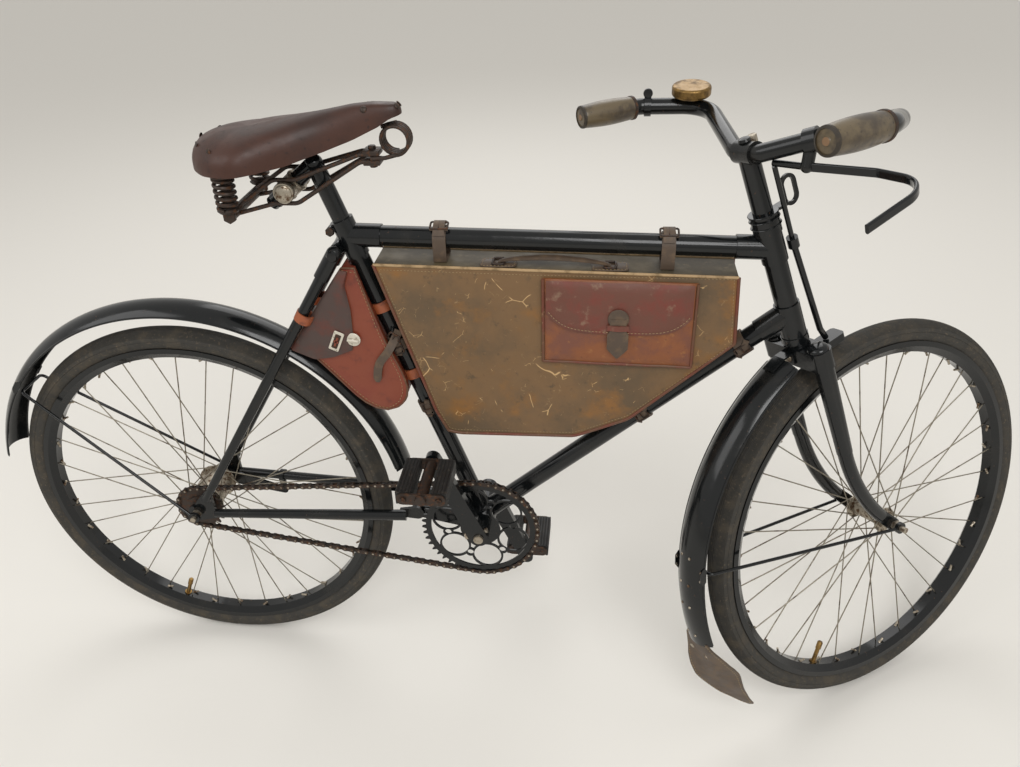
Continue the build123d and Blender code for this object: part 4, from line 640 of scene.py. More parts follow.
def stitches(bm, path, pitch, length, radius, closed=False, tint=0):
    """Row of thread stitches along a path, sizes in mm."""
    known = set(bm.faces)
    for point, ahead in spaced(path, pitch * MM, closed):
        place = facing(point, ahead) @ Matrix.Diagonal((radius * MM, radius * MM, 0.5 * length * MM, 1.0))
        bmesh.ops.create_uvsphere(bm, u_segments=6, v_segments=4, radius=1.0, matrix=place)
    tint_new(bm, known, tint)


def slab(bm, path, drop, tint=0, bevel=0.0):
    """Flat plate, its outline as points and its thickness as a vector."""
    known = set(bm.faces)
    face = bm.faces.new([bm.verts.new(point) for point in path])
    made = bmesh.ops.extrude_face_region(bm, geom=[face])["geom"]
    bmesh.ops.translate(bm, verts=[item for item in made if isinstance(item, bmesh.types.BMVert)], vec=drop)
    if bevel:
        caps = [face] + [item for item in made if isinstance(item, bmesh.types.BMFace)]
        soften(bm, {edge for cap in caps for edge in cap.edges}, bevel)
    tint_new(bm, known, tint)


def panel(bm, surface, across, down, tint=0, thickness=0.0):
    """Sheet over a surface given by shares along and down, with a thickness in mm if wanted."""
    known = set(bm.faces)
    verts = bmesh.ops.create_grid(bm, x_segments=across, y_segments=down, size=0.5)["verts"]
    for vert in verts:
        vert.co = surface(vert.co.x + 0.5, 0.5 - vert.co.y)
    if thickness:
        faces = list({face for vert in verts for face in vert.link_faces})
        bmesh.ops.recalc_face_normals(bm, faces=faces)
        bmesh.ops.solidify(bm, geom=faces, thickness=thickness * MM)
    tint_new(bm, known, tint)
    return verts


def finish_piece(name, bm, body, finish, replaces=(), sharp=40.0):
    """Welds a shape, turns its faces outward and lets it ride on a body in place of CAD nodes."""
    bmesh.ops.remove_doubles(bm, verts=bm.verts, dist=0.02 * MM)
    bmesh.ops.recalc_face_normals(bm, faces=bm.faces)
    mesh = bpy.data.meshes.new(name)
    bm.to_mesh(mesh)
    bm.free()
    mesh.shade_smooth()
    mesh.set_sharp_from_angle(angle=math.radians(sharp))
    for key in (finish,) if isinstance(finish, str) else finish:
        mesh.materials.append(finishes[key])
    obj = bpy.data.objects.new(name, mesh)
    bpy.context.scene.collection.objects.link(obj)
    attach(obj, body)
    if replaces:
        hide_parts(*replaces)
    return obj


def table_value(table, place):
    """Value at a place of a table of (place, value) pairs in rising order."""
    if place <= table[0][0]:
        return table[0][1]
    for (x0, v0), (x1, v1) in zip(table, table[1:]):
        if place <= x1:
            return v0 + (v1 - v0) * (place - x0) / (x1 - x0)
    return table[-1][1]


def blend_path(path, share):
    """Point at a share of a path's length."""
    lengths = [(b - a).length for a, b in zip(path, path[1:])]
    reach = share * sum(lengths)
    for (a, b), length in zip(zip(path, path[1:]), lengths):
        if reach <= length:
            return a.lerp(b, reach / length if length else 0.0)
        reach -= length
    return path[-1].copy()


def flat_run(*points):
    return [Vector((x, 0, z)) for x, z in points]


def patch(sides, along, down):
    """Place between four border paths, its top and foot run forward and its two ends run down."""
    top, right, low, left = sides
    a = blend_path(left, down).lerp(blend_path(right, down), along)
    b = blend_path(top, along).lerp(blend_path(low, along), down)
    return a + b - top[0].lerp(top[-1], along).lerp(low[0].lerp(low[-1], along), down)


def round_patch(lane, t):
    """Shares along and down at a share t of one of a patch's sides, numbered from its top."""
    return ((t, 0), (1, t), (1 - t, 1), (0, 1 - t))[lane]


def to_border(along, down):
    """Share from a patch's nearest border."""
    return min(along, 1 - along, down, 1 - down)


def ripple(x, z, size, seed=0.0):
    """Smooth wandering value from -1 to 1 over a surface, sizes in mm."""
    return field.noise(Vector((x / size, seed, z / size)))


def shrink(path, inset):
    """Closed outline moved inward by about inset mm."""
    middle = sum(path, Vector()) / len(path)
    return [p + (middle - p).normalized() * inset * MM for p in path]


def coil_path(foot, axis, start, radius, pitch, turns, steps=22):
    """Helix about an axis from its foot, sizes in mm."""
    place = facing(foot, axis, start)
    path = []
    for i in range(int(turns * steps) + 1):
        turn = math.tau * i / steps
        spot = Vector((radius * math.sin(turn), radius * math.cos(turn), pitch * i / steps))
        path.append(place @ (spot * MM))
    return path


# Saddle

# Edge from the nose round its left side, as x and y, and heights of the ridge and the hem by x
SADDLE_EDGE = (
    (-82, 0), (-85, 9), (-98, 15), (-130, 20), (-160, 26), (-195, 36), (-230, 53),
    (-260, 72), (-280, 84), (-300, 89.5), (-325, 83), (-350, 67), (-370, 41), (-379.5, 0),
)  # fmt: skip
SADDLE_RIDGE = ((-300, 664), (-250, 672.5), (-200, 682), (-150, 692), (-120, 695), (-100, 694))
SADDLE_HEM = (
    (-380, 619), (-345, 616), (-290, 619), (-235, 624), (-187, 637),
    (-148, 650), (-112, 666), (-96, 676), (-82, 680),
)  # fmt: skip
SADDLE_SPINE = (-300.0, -98.0)
SADDLE_ARCH = 2.9
SADDLE_SAG = 1.2
SADDLE_SAG_SPAN = 23.0
NOSE_STUDS = ((0.115, 0.45), (0.885, 0.45), (0.03, 0.55), (0.97, 0.55))
CANTLE_STUDS = (0.40, 0.455, 0.5, 0.545, 0.60)

POST_REACH = 648.0
ARM_REACH = 48.0
SEAT_CLAMP = at(0, 0) + (SEAT_UP * POST_REACH + POST_BACK * ARM_REACH) * MM
SADDLE_CLIP = (-128, 622)
SADDLE_BRIDGE = (-322, 556)
NOSE_SPRING = (-93, 646)
COIL_Y = 62


def saddle_point(around, down):
    """Point of the saddle's outside, around its edge from the nose and down from the ridge."""
    edge = [Vector((x, y)) for x, y in SADDLE_EDGE]
    edge += [Vector((p.x, -p.y)) for p in reversed(edge[:-1])]
    rim = blend_points(edge, around)
    spine_x = min(max(rim.x, SADDLE_SPINE[0]), SADDLE_SPINE[1])
    fall = 0.5 * math.pi * down
    reach = math.sin(fall) ** (2 / SADDLE_ARCH)
    height = max(math.cos(fall), 0.0) ** (2 / SADDLE_ARCH)
    ridge = table_value(SADDLE_RIDGE, spine_x)
    hem = table_value(SADDLE_HEM, rim.x)
    x = spine_x + (rim.x - spine_x) * reach
    sag = SADDLE_SAG * math.sin(x / SADDLE_SAG_SPAN) * math.sin(math.pi * down) ** 2
    return at(x, hem + (ridge - hem) * height + sag, rim.y * reach)


def build_saddle(hide):
    """Hide pulled over the frame, with the studs of its nose plate and its cantle."""
    bm = bmesh.new()
    bmesh.ops.create_grid(bm, x_segments=104, y_segments=18, size=0.5)
    for vert in bm.verts:
        vert.co = saddle_point(vert.co.x + 0.5, vert.co.y + 0.5)
    bmesh.ops.remove_doubles(bm, verts=bm.verts, dist=0.3 * MM)
    bmesh.ops.recalc_face_normals(bm, faces=bm.faces)
    bmesh.ops.solidify(bm, geom=bm.faces, thickness=hide)
    for around, down in NOSE_STUDS:
        point = saddle_point(around, down)
        away = (saddle_point(around, down + 0.04) - point).cross(saddle_point(around + 0.005, down) - point)
        outward = -away if away.dot(point - at(-200, 640)) < 0 else away
        rivet(bm, point, outward, 4.6, 1.8, 14, 1)
    for around in CANTLE_STUDS:
        point = saddle_point(around, 0.62)
        rivet(bm, point, point - at(-285, 640), 5.2, 1.6, 14, 1)
    hides = ("saddle_hide", "browned_steel")
    finish_piece("saddle_hide_shell", bm, "frame", hides, ("saddle_leather",), 50.0)


def build_saddle_frame():
    """Wires, clip and springs that carry the saddle, and the clamp on the post's arm."""
    bm = bmesh.new()
    nose = at(*SADDLE_CLIP)
    for side in (-1, 1):
        for lift in (-1, 1):
            wire = (
                nose + Vector((8, side * 8, lift * 5)) * MM,
                nose + Vector((-16, side * 10, lift * 5)) * MM,
                SEAT_CLAMP + Vector((16, side * 30, lift * 16.7)) * MM,
                SEAT_CLAMP + Vector((-16, side * 30, lift * 16.7)) * MM,
                at(SADDLE_BRIDGE[0], SADDLE_BRIDGE[1] + lift * 4, side * 40),
            )
            sweep(bm, rounded(wire, 20 * MM), 3.2, sides=10)
    # Clip of two cast jaws on a bolt
    for lift in (-1, 1):
        jaw = Matrix.Translation(nose + UP * lift * 6.5 * MM) @ Matrix.Diagonal((24 * MM, 25 * MM, 8 * MM, 1))
        soften(bm, edges_of(bmesh.ops.create_cube(bm, size=1.0, matrix=jaw)["verts"]), 2.0)
        hexagon(bm, facing(nose + UP * lift * 10 * MM, UP * lift), 10.0, 5.0)
    # Flat wire rolled to the front spring
    x, z = NOSE_SPRING
    roll = coil_path(at(x, z, 13), (0, -1, 0), (0, 0, -1), 19.2, 6.4, 4.0, 28)
    sweep(bm, roll, 2.6, 3.1, up=LEFT, sides=10)
    sweep(bm, rounded((at(-128, 622, -12), at(-108, 623, -12), at(x, z - 19.2, -12)), 10 * MM), 3.0, sides=10)
    sweep(bm, rounded((at(-112, 662), at(-104, 664, 6), at(x, z + 19.2, 13)), 5 * MM), 2.8, sides=10)
    # Rear bridge tube and the two coil springs on it
    x, z = SADDLE_BRIDGE
    sweep(bm, [at(x, z, -66), at(x, z, 66)], 7.6, sides=16)
    for side in (-1, 1):
        y = side * COIL_Y
        hexagon(bm, facing(at(x, z, side * 60), (0, side, 0)), 17.0, 6.4)
        sweep(bm, coil_path(at(x, z + 12, y), UP, (0, side, 0), 13.0, 8.2, 5.2, 20), 2.8, sides=8)
        lathe(bm, ((0, -3), (13, -3), (15.5, 0), (13, 2.5), (0, 2.5)), facing(at(x, z + 10, y), UP), 20)
        lathe(bm, ((0, 0), (15.5, 0), (15.5, 2.2), (0, 2.2)), facing(at(x, z + 56.4, y), UP), 20)
    stands_for = ("saddle_rails", "saddle_springs")
    finish_piece("saddle_wires_and_springs", bm, "frame", "browned_steel", stands_for)
    # Clamp: serrated washers and a domed, slotted nut on each side
    bm = bmesh.new()
    nut = ((0, 0), (14, 0), (15, 1.2), (15, 4), (14, 5.2), (12.4, 5.4), (12.2, 7.2), (9, 9.6), (0, 10.4))
    for side in (-1, 1):
        outward = Vector((0, side, 0))
        face = facing(SEAT_CLAMP + outward * 33.5 * MM, outward)
        lathe(bm, nut, face, 36)
        for turn in (-1, 1):
            cut = face @ Matrix.Translation((turn * 5.4 * MM, 0, 9.2 * MM))
            bmesh.ops.create_cube(bm, size=1.0, matrix=cut @ Matrix.Diagonal((5 * MM, 1.6 * MM, 3 * MM, 1)))
        sweep(bm, [SEAT_CLAMP + outward * 12 * MM, SEAT_CLAMP + outward * 26 * MM], 12.6, sides=28)
    sweep(bm, [SEAT_CLAMP - POST_BACK * 14 * MM, SEAT_CLAMP + POST_BACK * 14 * MM], 15.3, sides=28)
    ring = ((13, -2), (16.3, -2), (16.8, 0), (16.3, 2), (13, 2))
    for share in (-11, 11):
        lathe(bm, ring, facing(SEAT_CLAMP + POST_BACK * share * MM, POST_BACK), 28)
    finish_piece("saddle_clamp_detail", bm, "frame", "worn_nickel", ("saddle_clamp",))


# Frame case with its pouch and handle

CASE_BACK_TOP = (-136, 475)
CASE_FRONT_TOP = (376, 465)
CASE_BACK_LOW = (-44, 192)
CASE_FRONT_LOW = (381, 362)
CASE_FOOT_BEND = 40.0
CASE_SIDES = (
    flat_run(CASE_BACK_TOP, CASE_FRONT_TOP),
    flat_run(CASE_FRONT_TOP, CASE_FRONT_LOW),
    rounded(flat_run(CASE_BACK_LOW, (-26, 188), (156, 191), (236, 226), CASE_FRONT_LOW), CASE_FOOT_BEND),
    flat_run(CASE_BACK_TOP, (-61, 228), CASE_BACK_LOW),
)
CASE_HALF = 35.6
CASE_WALL = 2.0
CASE_SEAM_INSET = 0.012


def case_face(along, down, side):
    """Point of the case's side panel, swollen by what it holds and dented by use."""
    spot = patch(CASE_SIDES, along, down)
    edge = to_border(along, down)
    swell = 2.2 * (1 - math.exp(-edge * 14))
    swell += 2.4 * ripple(spot.x, spot.z, 120.0, side * 3.0) * min(edge * 8, 1)
    swell += 0.7 * ripple(spot.x, spot.z, 34.0, side * 7.0) * min(edge * 12, 1)
    return at(spot.x, spot.z, side * (CASE_HALF - CASE_WALL + swell))


def build_case():
    """Two side panels and a gusset, their seams bound and stitched."""
    bm = bmesh.new()
    rims = []
    for side in (-1, 1):
        rims += rim_of(panel(bm, lambda along, down: case_face(along, down, side), 72, 48))
    for face in bmesh.ops.bridge_loops(bm, edges=rims)["faces"]:
        face.material_index = 1
    count = 260
    for side in (-1, 1):
        run, seam = [], []
        for i in range(count):
            share = 4 * i / count
            along, down = round_patch(int(share), share % 1)
            run.append(case_face(along, down, side))
            inner = (
                CASE_SEAM_INSET + (1 - 2 * CASE_SEAM_INSET) * along,
                2 * CASE_SEAM_INSET + (1 - 4 * CASE_SEAM_INSET) * down,
            )
            seam.append(case_face(*inner, side) + LEFT * side * 0.3 * MM)
        # The top run takes the paler binding finish, a painted highlight on the lit top edge
        sweep(bm, run[: count // 4 + 1], 2.3, sides=8, tint=4)
        sweep(bm, run[count // 4 :] + run[:1], 2.6, sides=8, tint=2)
        stitches(bm, seam, 5.0, 3.2, 0.45, closed=True, tint=3)
    hides = ("case_hide", "case_gusset", "seam_leather", "waxed_thread", "top_binding_highlight")
    finish_piece("frame_case_hide", bm, "frame", hides, ("frame_case",), 60.0)


POUCH_BACK, POUCH_FRONT, POUCH_LOW, POUCH_TOP = 108.0, 322.0, 329.0, 461.0
POUCH_SLOPE = 4.0
POUCH_FACE = 39.6
POUCH_FOOT = 36.5


def pouch_point(along, down, lift=0.0):
    """Point of the pouch's front, along to the front and down from the top, both as shares."""
    x = POUCH_BACK + (POUCH_FRONT - POUCH_BACK) * along
    z = POUCH_TOP - POUCH_SLOPE * along - (POUCH_TOP - POUCH_LOW) * down
    edge = max(to_border(along, down), 0.0)
    swell = 7.0 * (1 - math.exp(-edge * 11)) + 1.2 * ripple(x, z, 45.0, 2.0)
    return at(x, z, -POUCH_FACE - swell - lift)


def flap_end(share, middle):
    """How far down the pouch its flap reaches, less at both ends."""
    return middle - 0.20 * abs(2 * share - 1) ** 5


def tongue_width(share):
    """Width of the pouch's strap: narrow over the flap, full below it and pointed at its end."""
    if share < 0.3:
        return 0.78
    return 1.0 if share < 0.72 else max(1.0 - 3.4 * (share - 0.72), 0.06)


def build_pouch():
    """Pouch on the case's near side, its flap held by a pointed strap."""
    bm = bmesh.new()
    skirt = bmesh.ops.extrude_edge_only(bm, edges=rim_of(panel(bm, pouch_point, 44, 30)))["geom"]
    for vert in (item for item in skirt if isinstance(item, bmesh.types.BMVert)):
        vert.co.y = -POUCH_FOOT * MM

    def flap(along, t):
        return pouch_point(0.02 + 0.96 * along, 0.01 + flap_end(along, 0.58) * t, 2.6 + 0.8 * t)

    panel(bm, flap, 44, 18, 1, 2.2)
    # Welts down both sides and along the bottom, thread along the flap
    for (a0, d0), (a1, d1) in (((0, 0), (0, 1)), ((1, 0), (1, 1)), ((0, 1), (1, 1))):
        shares = [i / 24 for i in range(25)]
        welt = [pouch_point(a0 + (a1 - a0) * t, d0 + (d1 - d0) * t, 0.6) for t in shares]
        sweep(bm, welt, 2.4, sides=8, tint=2)
    hem = [pouch_point(0.035 + 0.93 * t, 0.01 + flap_end(t, 0.55), 5.6) for t in (i / 40 for i in range(41))]
    stitches(bm, hem, 5.0, 3.4, 0.45, tint=3)
    # Strap with a pointed tongue, through a round-backed keeper
    tongue = [pouch_point(0.5, 0.40 + 0.5 * i / 14, 6.2 - 0.4 * max(i - 8, 0)) for i in range(15)]
    sweep(bm, tongue, 15.0, 1.4, up=-LEFT, square=True, tint=4, taper=tongue_width)
    boss = facing(pouch_point(0.5, 0.40, 4.2), -LEFT)
    lathe(bm, ((0, 0), (14, 0), (15, 1), (14, 2.4), (0, 2.4)), boss, 28, 4)
    keeper = [pouch_point(share, 0.50, lift) for share, lift in ((0.43, 6.5), (0.5, 9.0), (0.57, 6.5))]
    sweep(bm, keeper, 4.0, 1.3, up=-LEFT, square=True, tint=1)
    hides = ("pouch_hide", "flap_hide", "seam_leather", "waxed_thread", "dark_strap")
    finish_piece("case_pouch_hide", bm, "frame", hides, ("case_pouch",), 50.0)


CORNERS = ((-1, -1), (1, -1), (1, 1), (-1, 1))
HANDLE_ENDS = (43, 201)
HANDLE_Y = -14


def case_top(x):
    """Height of the case's top edge."""
    (x0, z0), (x1, z1) = CASE_BACK_TOP, CASE_FRONT_TOP
    return z0 + (z1 - z0) * (x - x0) / (x1 - x0)


def lying(x, lift, half_x, half_y, bend):
    """Rounded outline that lies on the case's top under the handle."""
    corners = [at(x + a * half_x, case_top(x) + lift, HANDLE_Y + b * half_y) for a, b in CORNERS]
    return rounded(corners, bend * MM, closed=True)


def build_handle():
    """Folded handle on the case's top, held by two metal loops over leather patches."""
    bm = bmesh.new()
    run = []
    for i in range(31):
        x = HANDLE_ENDS[0] + (HANDLE_ENDS[1] - HANDLE_ENDS[0]) * i / 30
        run.append(at(x, case_top(x) + 3.0 + 9.0 * math.sin(math.pi * i / 30) ** 0.6, HANDLE_Y))
    sweep(bm, run, 7.5, 3.0, sides=10, taper=lambda share: 0.65 + 0.45 * math.sin(math.pi * share))
    for x in HANDLE_ENDS:
        sweep(bm, lying(x, 4.0, 8, 11, 3), 1.9, sides=8, closed=True, tint=1)
        pad = lying(x, 0.4, 26, 15, 8)
        rise = UP * 2.0 * MM
        slab(bm, pad, rise, bevel=0.6)
        stitches(bm, [point + rise for point in shrink(pad, 3.0)], 5.0, 3.2, 0.45, closed=True, tint=2)
    hides = ("dark_strap", "browned_steel", "waxed_thread")
    finish_piece("case_handle_hide", bm, "frame", hides, ("case_handle",), 50.0)


# Straps, tool bag and mud flap

BAG_TOP = (-167, 466)
BAG_FOOT = (-141, 223)
BAG_SIDES = (
    flat_run((-186, 466), BAG_TOP),
    flat_run(
        *(BAG_TOP, (-150, 404), (-133, 345), (-111, 290), (-106, 268)),
        *((-107, 252), (-113, 239), (-124, 229), BAG_FOOT),
    ),
    flat_run((-283, 331), (-246, 315), (-190, 249), (-175, 235), (-159, 226), BAG_FOOT),
    flat_run((-186, 466), (-236, 396), (-283, 331)),
)
FLAP_SIDES = (
    flat_run((-187, 464), (-178, 463)),
    flat_run((-178, 463), (-185, 440), (-180, 400), (-181, 363), (-185, 333)),
    flat_run((-281, 330), (-246, 315), (-215, 320), (-185, 333)),
    flat_run((-187, 464), (-236, 396), (-281, 330)),
)
BAG_HALF = 30.0
SEAT_TUBE_CLEAR = 18.5
GUARD_CENTRE = (-487.0, 20.0)
GUARD_BACK = 377.0
GUARD_BEND = 36.1
GUARD_HALF = 31.0
LOCK = (-206, 350)
LOCK_FACE = 36.4
LOCK_LEAN = math.radians(66)


def bag_face(along, down, side, lift=0.0, sides=BAG_SIDES):
    """Point of the bag's side, or of its flap, swollen and rippled."""
    spot = patch(sides, along, down)
    edge = to_border(along, down)
    swell = 3.4 * (1 - math.exp(-max(edge, 0.0) * 14))
    swell += 1.6 * ripple(spot.x, spot.z, 46.0, 4.0) * min(edge * 9, 1)
    return at(spot.x, spot.z, side * (BAG_HALF - 3.6 + swell + lift))


def clear_bag(point):
    """Moves a point of the bag off the seat tube and onto the rear guard's back."""
    spot = (point - BB) / MM
    away = spot - SEAT_UP * SEAT_UP.dot(spot)
    if away.length < SEAT_TUBE_CLEAR:
        spot += away.normalized() * (SEAT_TUBE_CLEAR - away.length)
    out = Vector((spot.x - GUARD_CENTRE[0], 0.0, spot.z - GUARD_CENTRE[1]))
    least = GUARD_BACK - (GUARD_BEND - math.sqrt(max(GUARD_BEND**2 - spot.y**2, 0.0)))
    if out.length < least and abs(spot.y) < GUARD_HALF:
        spot += out.normalized() * (least - out.length)
    return at(spot.x, spot.z, spot.y)


def band_loop(bm, centre, axis, radius, half, tint, thick=1.3):
    """Leather band drawn tight round a tube."""
    place = facing(centre, axis)
    turns = [math.tau * i / 28 for i in range(28)]
    ring = [place @ Vector((radius * MM * math.cos(t), radius * MM * math.sin(t), 0.0)) for t in turns]
    sweep(bm, ring, thick, half, up=axis, square=True, closed=True, tint=tint)


def buckle(bm, centre, along, up, width, length, tint):
    """Wire frame of a roller buckle with its prong, length along the strap."""
    along, up = Vector(along).normalized(), Vector(up).normalized()
    side = along.cross(up)
    corners = [centre + (along * a * length + side * b * width) * 0.5 * MM for a, b in CORNERS]
    sweep(bm, rounded(corners, 3 * MM, closed=True, steps=4), 1.5, sides=8, closed=True, tint=tint)
    reach = along * 0.5 * length * MM
    prong = [centre - reach, centre + up * 1.6 * MM, centre + reach + up * 1.2 * MM]
    sweep(bm, curve(prong, 6), 1.1, sides=8, tint=tint)


def lock_point(along, across, lift):
    """Point of the bag's leaning lock plate, sizes in mm from its middle."""
    cos, sin = math.cos(LOCK_LEAN), math.sin(LOCK_LEAN)
    return at(LOCK[0] + along * cos - across * sin, LOCK[1] + along * sin + across * cos, -LOCK_FACE - lift)


def build_tool_bag():
    """Bag behind the seat tube: two bulged sides and a gusset, a flap with its lock, a strap and bands."""
    bm = bmesh.new()
    rims = []
    for side in (-1, 1):
        rims += rim_of(panel(bm, lambda along, down: bag_face(along, down, side), 36, 40))
    gusset = {edge for face in bmesh.ops.bridge_loops(bm, edges=rims)["faces"] for edge in face.edges}
    rungs = [edge for edge in gusset if abs(edge.verts[0].co.y - edge.verts[1].co.y) > BAG_HALF * MM]
    bmesh.ops.subdivide_edges(bm, edges=rungs, cuts=9, use_grid_fill=True)
    for vert in bm.verts:
        vert.co = clear_bag(vert.co)
    # Welted seams round both sides
    for side in (-1, 1):
        welt, seam = [], []
        for lane in range(4):
            for i in range(30):
                along, down = round_patch(lane, i / 30)
                welt.append(clear_bag(bag_face(along, down, side, 0.4)))
                seam.append(clear_bag(bag_face(0.04 + 0.92 * along, 0.025 + 0.95 * down, side, 0.5)))
        sweep(bm, welt, 1.7, sides=8, closed=True, tint=1)
        stitches(bm, seam, 6.0, 4.0, 0.5, closed=True, tint=2)
    # Dark flap over the rear upper part of the near side, its edge worn pale
    panel(bm, lambda along, down: bag_face(along, down, -1, 5.2 - 1.2 * down, FLAP_SIDES), 26, 30, 3, 2.2)
    for lane in (1, 2):
        shares = [round_patch(lane, i / 40) for i in range(41)]
        run = [bag_face(along, down, -1, 5.6 - 1.2 * down, FLAP_SIDES) for along, down in shares]
        sweep(bm, run, 1.25, sides=6, tint=1)
    # Lock plate with a cross-shaped opening, and the turn catch beside it
    for half_along, half_across, lift, tint in ((17.0, 8.0, 0.0, 8), (12.5, 4.6, 0.9, 5)):
        corners = [lock_point(a * half_along, b * half_across, lift) for a, b in CORNERS]
        slab(bm, rounded(corners, 2.0 * MM, closed=True, steps=4), -LEFT * 1.2 * MM, tint, 0.3)
    cross = facing(lock_point(0, 0, 2.4), -LEFT, (math.cos(LOCK_LEAN), 0, math.sin(LOCK_LEAN)))
    for along, across in ((7.5, 1.3), (1.6, 3.6)):
        bar = Matrix.Diagonal((across * MM, along * MM, 1.0 * MM, 1))
        bmesh.ops.create_cube(bm, size=2.0, matrix=cross @ bar)
    catch = facing(at(-180, 352, -33.5), -LEFT, (0.5, 0, 1))
    lathe(bm, ((0, 0), (10.5, 0), (11, 0.8), (9.4, 1.8), (0, 2.2)), catch, 24, 4)
    lathe(bm, ((0, 0), (3.4, 0), (3.4, 5), (2.6, 6), (0, 6.2)), catch, 16, 4)
    wing = [catch @ (Vector((8 * end, 3 * end, 5)) * MM) for end in (-1, 1)]
    sweep(bm, wing, 2.3, 1.5, up=-LEFT, sides=10, tint=4)
    # Olive strap from the seat tube down the lobe, with its buckle and point
    strap = ((-112, 362, -19), (-121, 345, -24), (-130, 330, -31), (-143, 313, -33.6), (-148, 296, -34.6))
    run = curve([at(*spot) for spot in (*strap, (-150, 278, -34.4))], 30)
    sweep(bm, run, 6.4, 1.3, up=-LEFT, square=True, tint=6, taper=lambda s: 1.0 - 6.0 * max(s - 0.9, 0.0))
    buckle(bm, at(-120, 352, -23.5), (-0.5, 0.35, -0.8), (0, -1, 0.1), 19, 15, 5)
    # Tan bands that hold its point to both seat stays
    for side in (-1, 1):
        band_loop(bm, at(-251, 389, side * 34.5), Vector((-0.5, side * 0.06, -0.86)), 12.4, 7.5, 7)
    hides = ("bag_hide", "seam_leather", "waxed_thread", "bag_flap_hide", "lock_plate", "browned_steel")
    hides += ("dark_strap", "tan_strap", "lock_plate")
    bag = finish_piece("tool_bag_hide", bm, "frame", hides, ("tool_bag",), 55.0)


TOP_TUBE_BACK = (-176.6, 507)
TOP_TUBE_FALL = 0.0182
DOWN_TUBE = (at(456.1, 398.4) - BB).normalized()


def on_seat_tube(z):
    return at(0, 0) + SEAT_UP * z / math.sin(SEAT_ANGLE) * MM


def on_down_tube(x):
    return at(0, 0) + DOWN_TUBE * x / DOWN_TUBE.x * MM


def hanging_strap(bm, x):
    """Strap from the top tube round the case's top, with its buckle and folded end."""
    centre = at(x, TOP_TUBE_BACK[1] - (x - TOP_TUBE_BACK[0]) * TOP_TUBE_FALL)

    def spots(*places):
        return [centre + Vector(place) * MM for place in places]

    arch = [(0, 17.0 * math.cos(t), 17.0 * math.sin(t)) for t in (math.pi * i / 20 for i in range(21))]
    near = [(0, -17.0, -z) for z in (8, 16, 24, 29.5)]
    under = [(0, y, -30.3) for y in (-12, 0, 12)]
    far = [(0, 17.0, -z) for z in (29.5, 24, 16, 8)]
    sweep(bm, spots(*arch, *near, *under, *far), 1.3, 9.5, up=(1, 0, 0), square=True, closed=True)
    knot = spots((0, -16.2, 8.5), (0, -11, 19), (0, 0, 23), (0, 9, 19.4))
    sweep(bm, curve(knot, 16), 2.4, 8.2, up=(1, 0, 0), square=True)
    buckle(bm, centre + Vector((0, -7.5, 21.0)) * MM, (0, 1, 0.35), (0, -0.35, 1), 25, 15, 1)
    sweep(bm, spots((-13, -13, 17.5), (13, -13, 17.5)), 2.0, 2.6, sides=10)


def build_straps():
    """Straps that hang the case in the frame, and the bands round the seat tube and down tube."""
    bm = bmesh.new()
    for x in (-41, 280):
        hanging_strap(bm, x)
    dark, tan = 0, 2
    for centre, axis, half, tint in (
        (on_seat_tube(334), SEAT_UP, 9.0, dark),
        (on_seat_tube(397), SEAT_UP, 8.0, tan),
        (on_seat_tube(223), SEAT_UP, 9.0, dark),
        (on_seat_tube(283), SEAT_UP, 8.0, tan),
        (on_down_tube(396), DOWN_TUBE, 9.5, dark),
        (on_down_tube(258), DOWN_TUBE, 8.0, dark),
    ):
        band_loop(bm, centre, axis, 17.0, half, tint, 1.5)
        if tint == tan:
            continue
        keeper = centre - LEFT * 17.6 * MM
        tip = axis * 0.5 * half * MM
        end = [keeper - UP * 12 * MM - tip, keeper, keeper + Vector((0, -2, 11)) * MM + tip]
        sweep(bm, end, 4.2, 1.4, up=-LEFT, square=True, tint=tint)
        buckle(bm, keeper + Vector((0, -1.2, -2)) * MM, axis.cross(LEFT), -LEFT, 2 * half + 3, 13, 1)
    hides = ("dark_strap", "browned_steel", "tan_strap")
    finish_piece("case_straps_hide", bm, "frame", hides, ("straps",), 50.0)


WHEEL_AHEAD = FORK_AHEAD * HEAD_UP.z + HEAD_UP * HEAD_UP.x
WHEEL_UP = HEAD_UP * HEAD_UP.z - FORK_AHEAD * HEAD_UP.x
REAR_GUARD = at(*GUARD_CENTRE)


def wheel_point(front, degrees, radius, y=0.0, centre=None):
    """Point beside a wheel, by its angle up from straight ahead, its radius and its place to the left."""
    turn = math.radians(degrees)
    ahead, up, left = (WHEEL_AHEAD, WHEEL_UP, FORK_LEFT) if front else (Vector((1, 0, 0)), UP, LEFT)
    centre = centre or (FRONT_AXLE if front else REAR_AXLE)
    return centre + ((ahead * math.cos(turn) + up * math.sin(turn)) * radius + left * y) * MM


# Half width of the mud flap by its run along the guard, from 96 mm before its fold to its point
LEAF = ((-96, 28), (-70, 33), (-45, 37.5), (-20, 38.5), (10, 35), (60, 22), (118, 4))
LEAF_FOLD = 213
LEAF_RADIUS = 376
LEAF_ROLL = math.radians(38)


def leaf_point(across, down, lift=0.0):
    """Point of the mud flap, cupped a little, rolled in to the tyre and curling at its point."""
    run = LEAF[0][0] + (LEAF[-1][0] - LEAF[0][0]) * down
    y = (2 * across - 1) * table_value(LEAF, run)
    cup = 6.0 * (y / 38) ** 2 * (1 - 0.6 * down) + 1.6 * field.noise(Vector((y / 30, run / 40, 3.0)))
    roll = math.sin(LEAF_ROLL * min(down / 0.45, 1.0)) * y
    radius = LEAF_RADIUS - cup + roll + 2.5 * down**3 + lift
    return wheel_point(True, LEAF_FOLD + math.degrees(run / 375), radius, 0.88 * y)


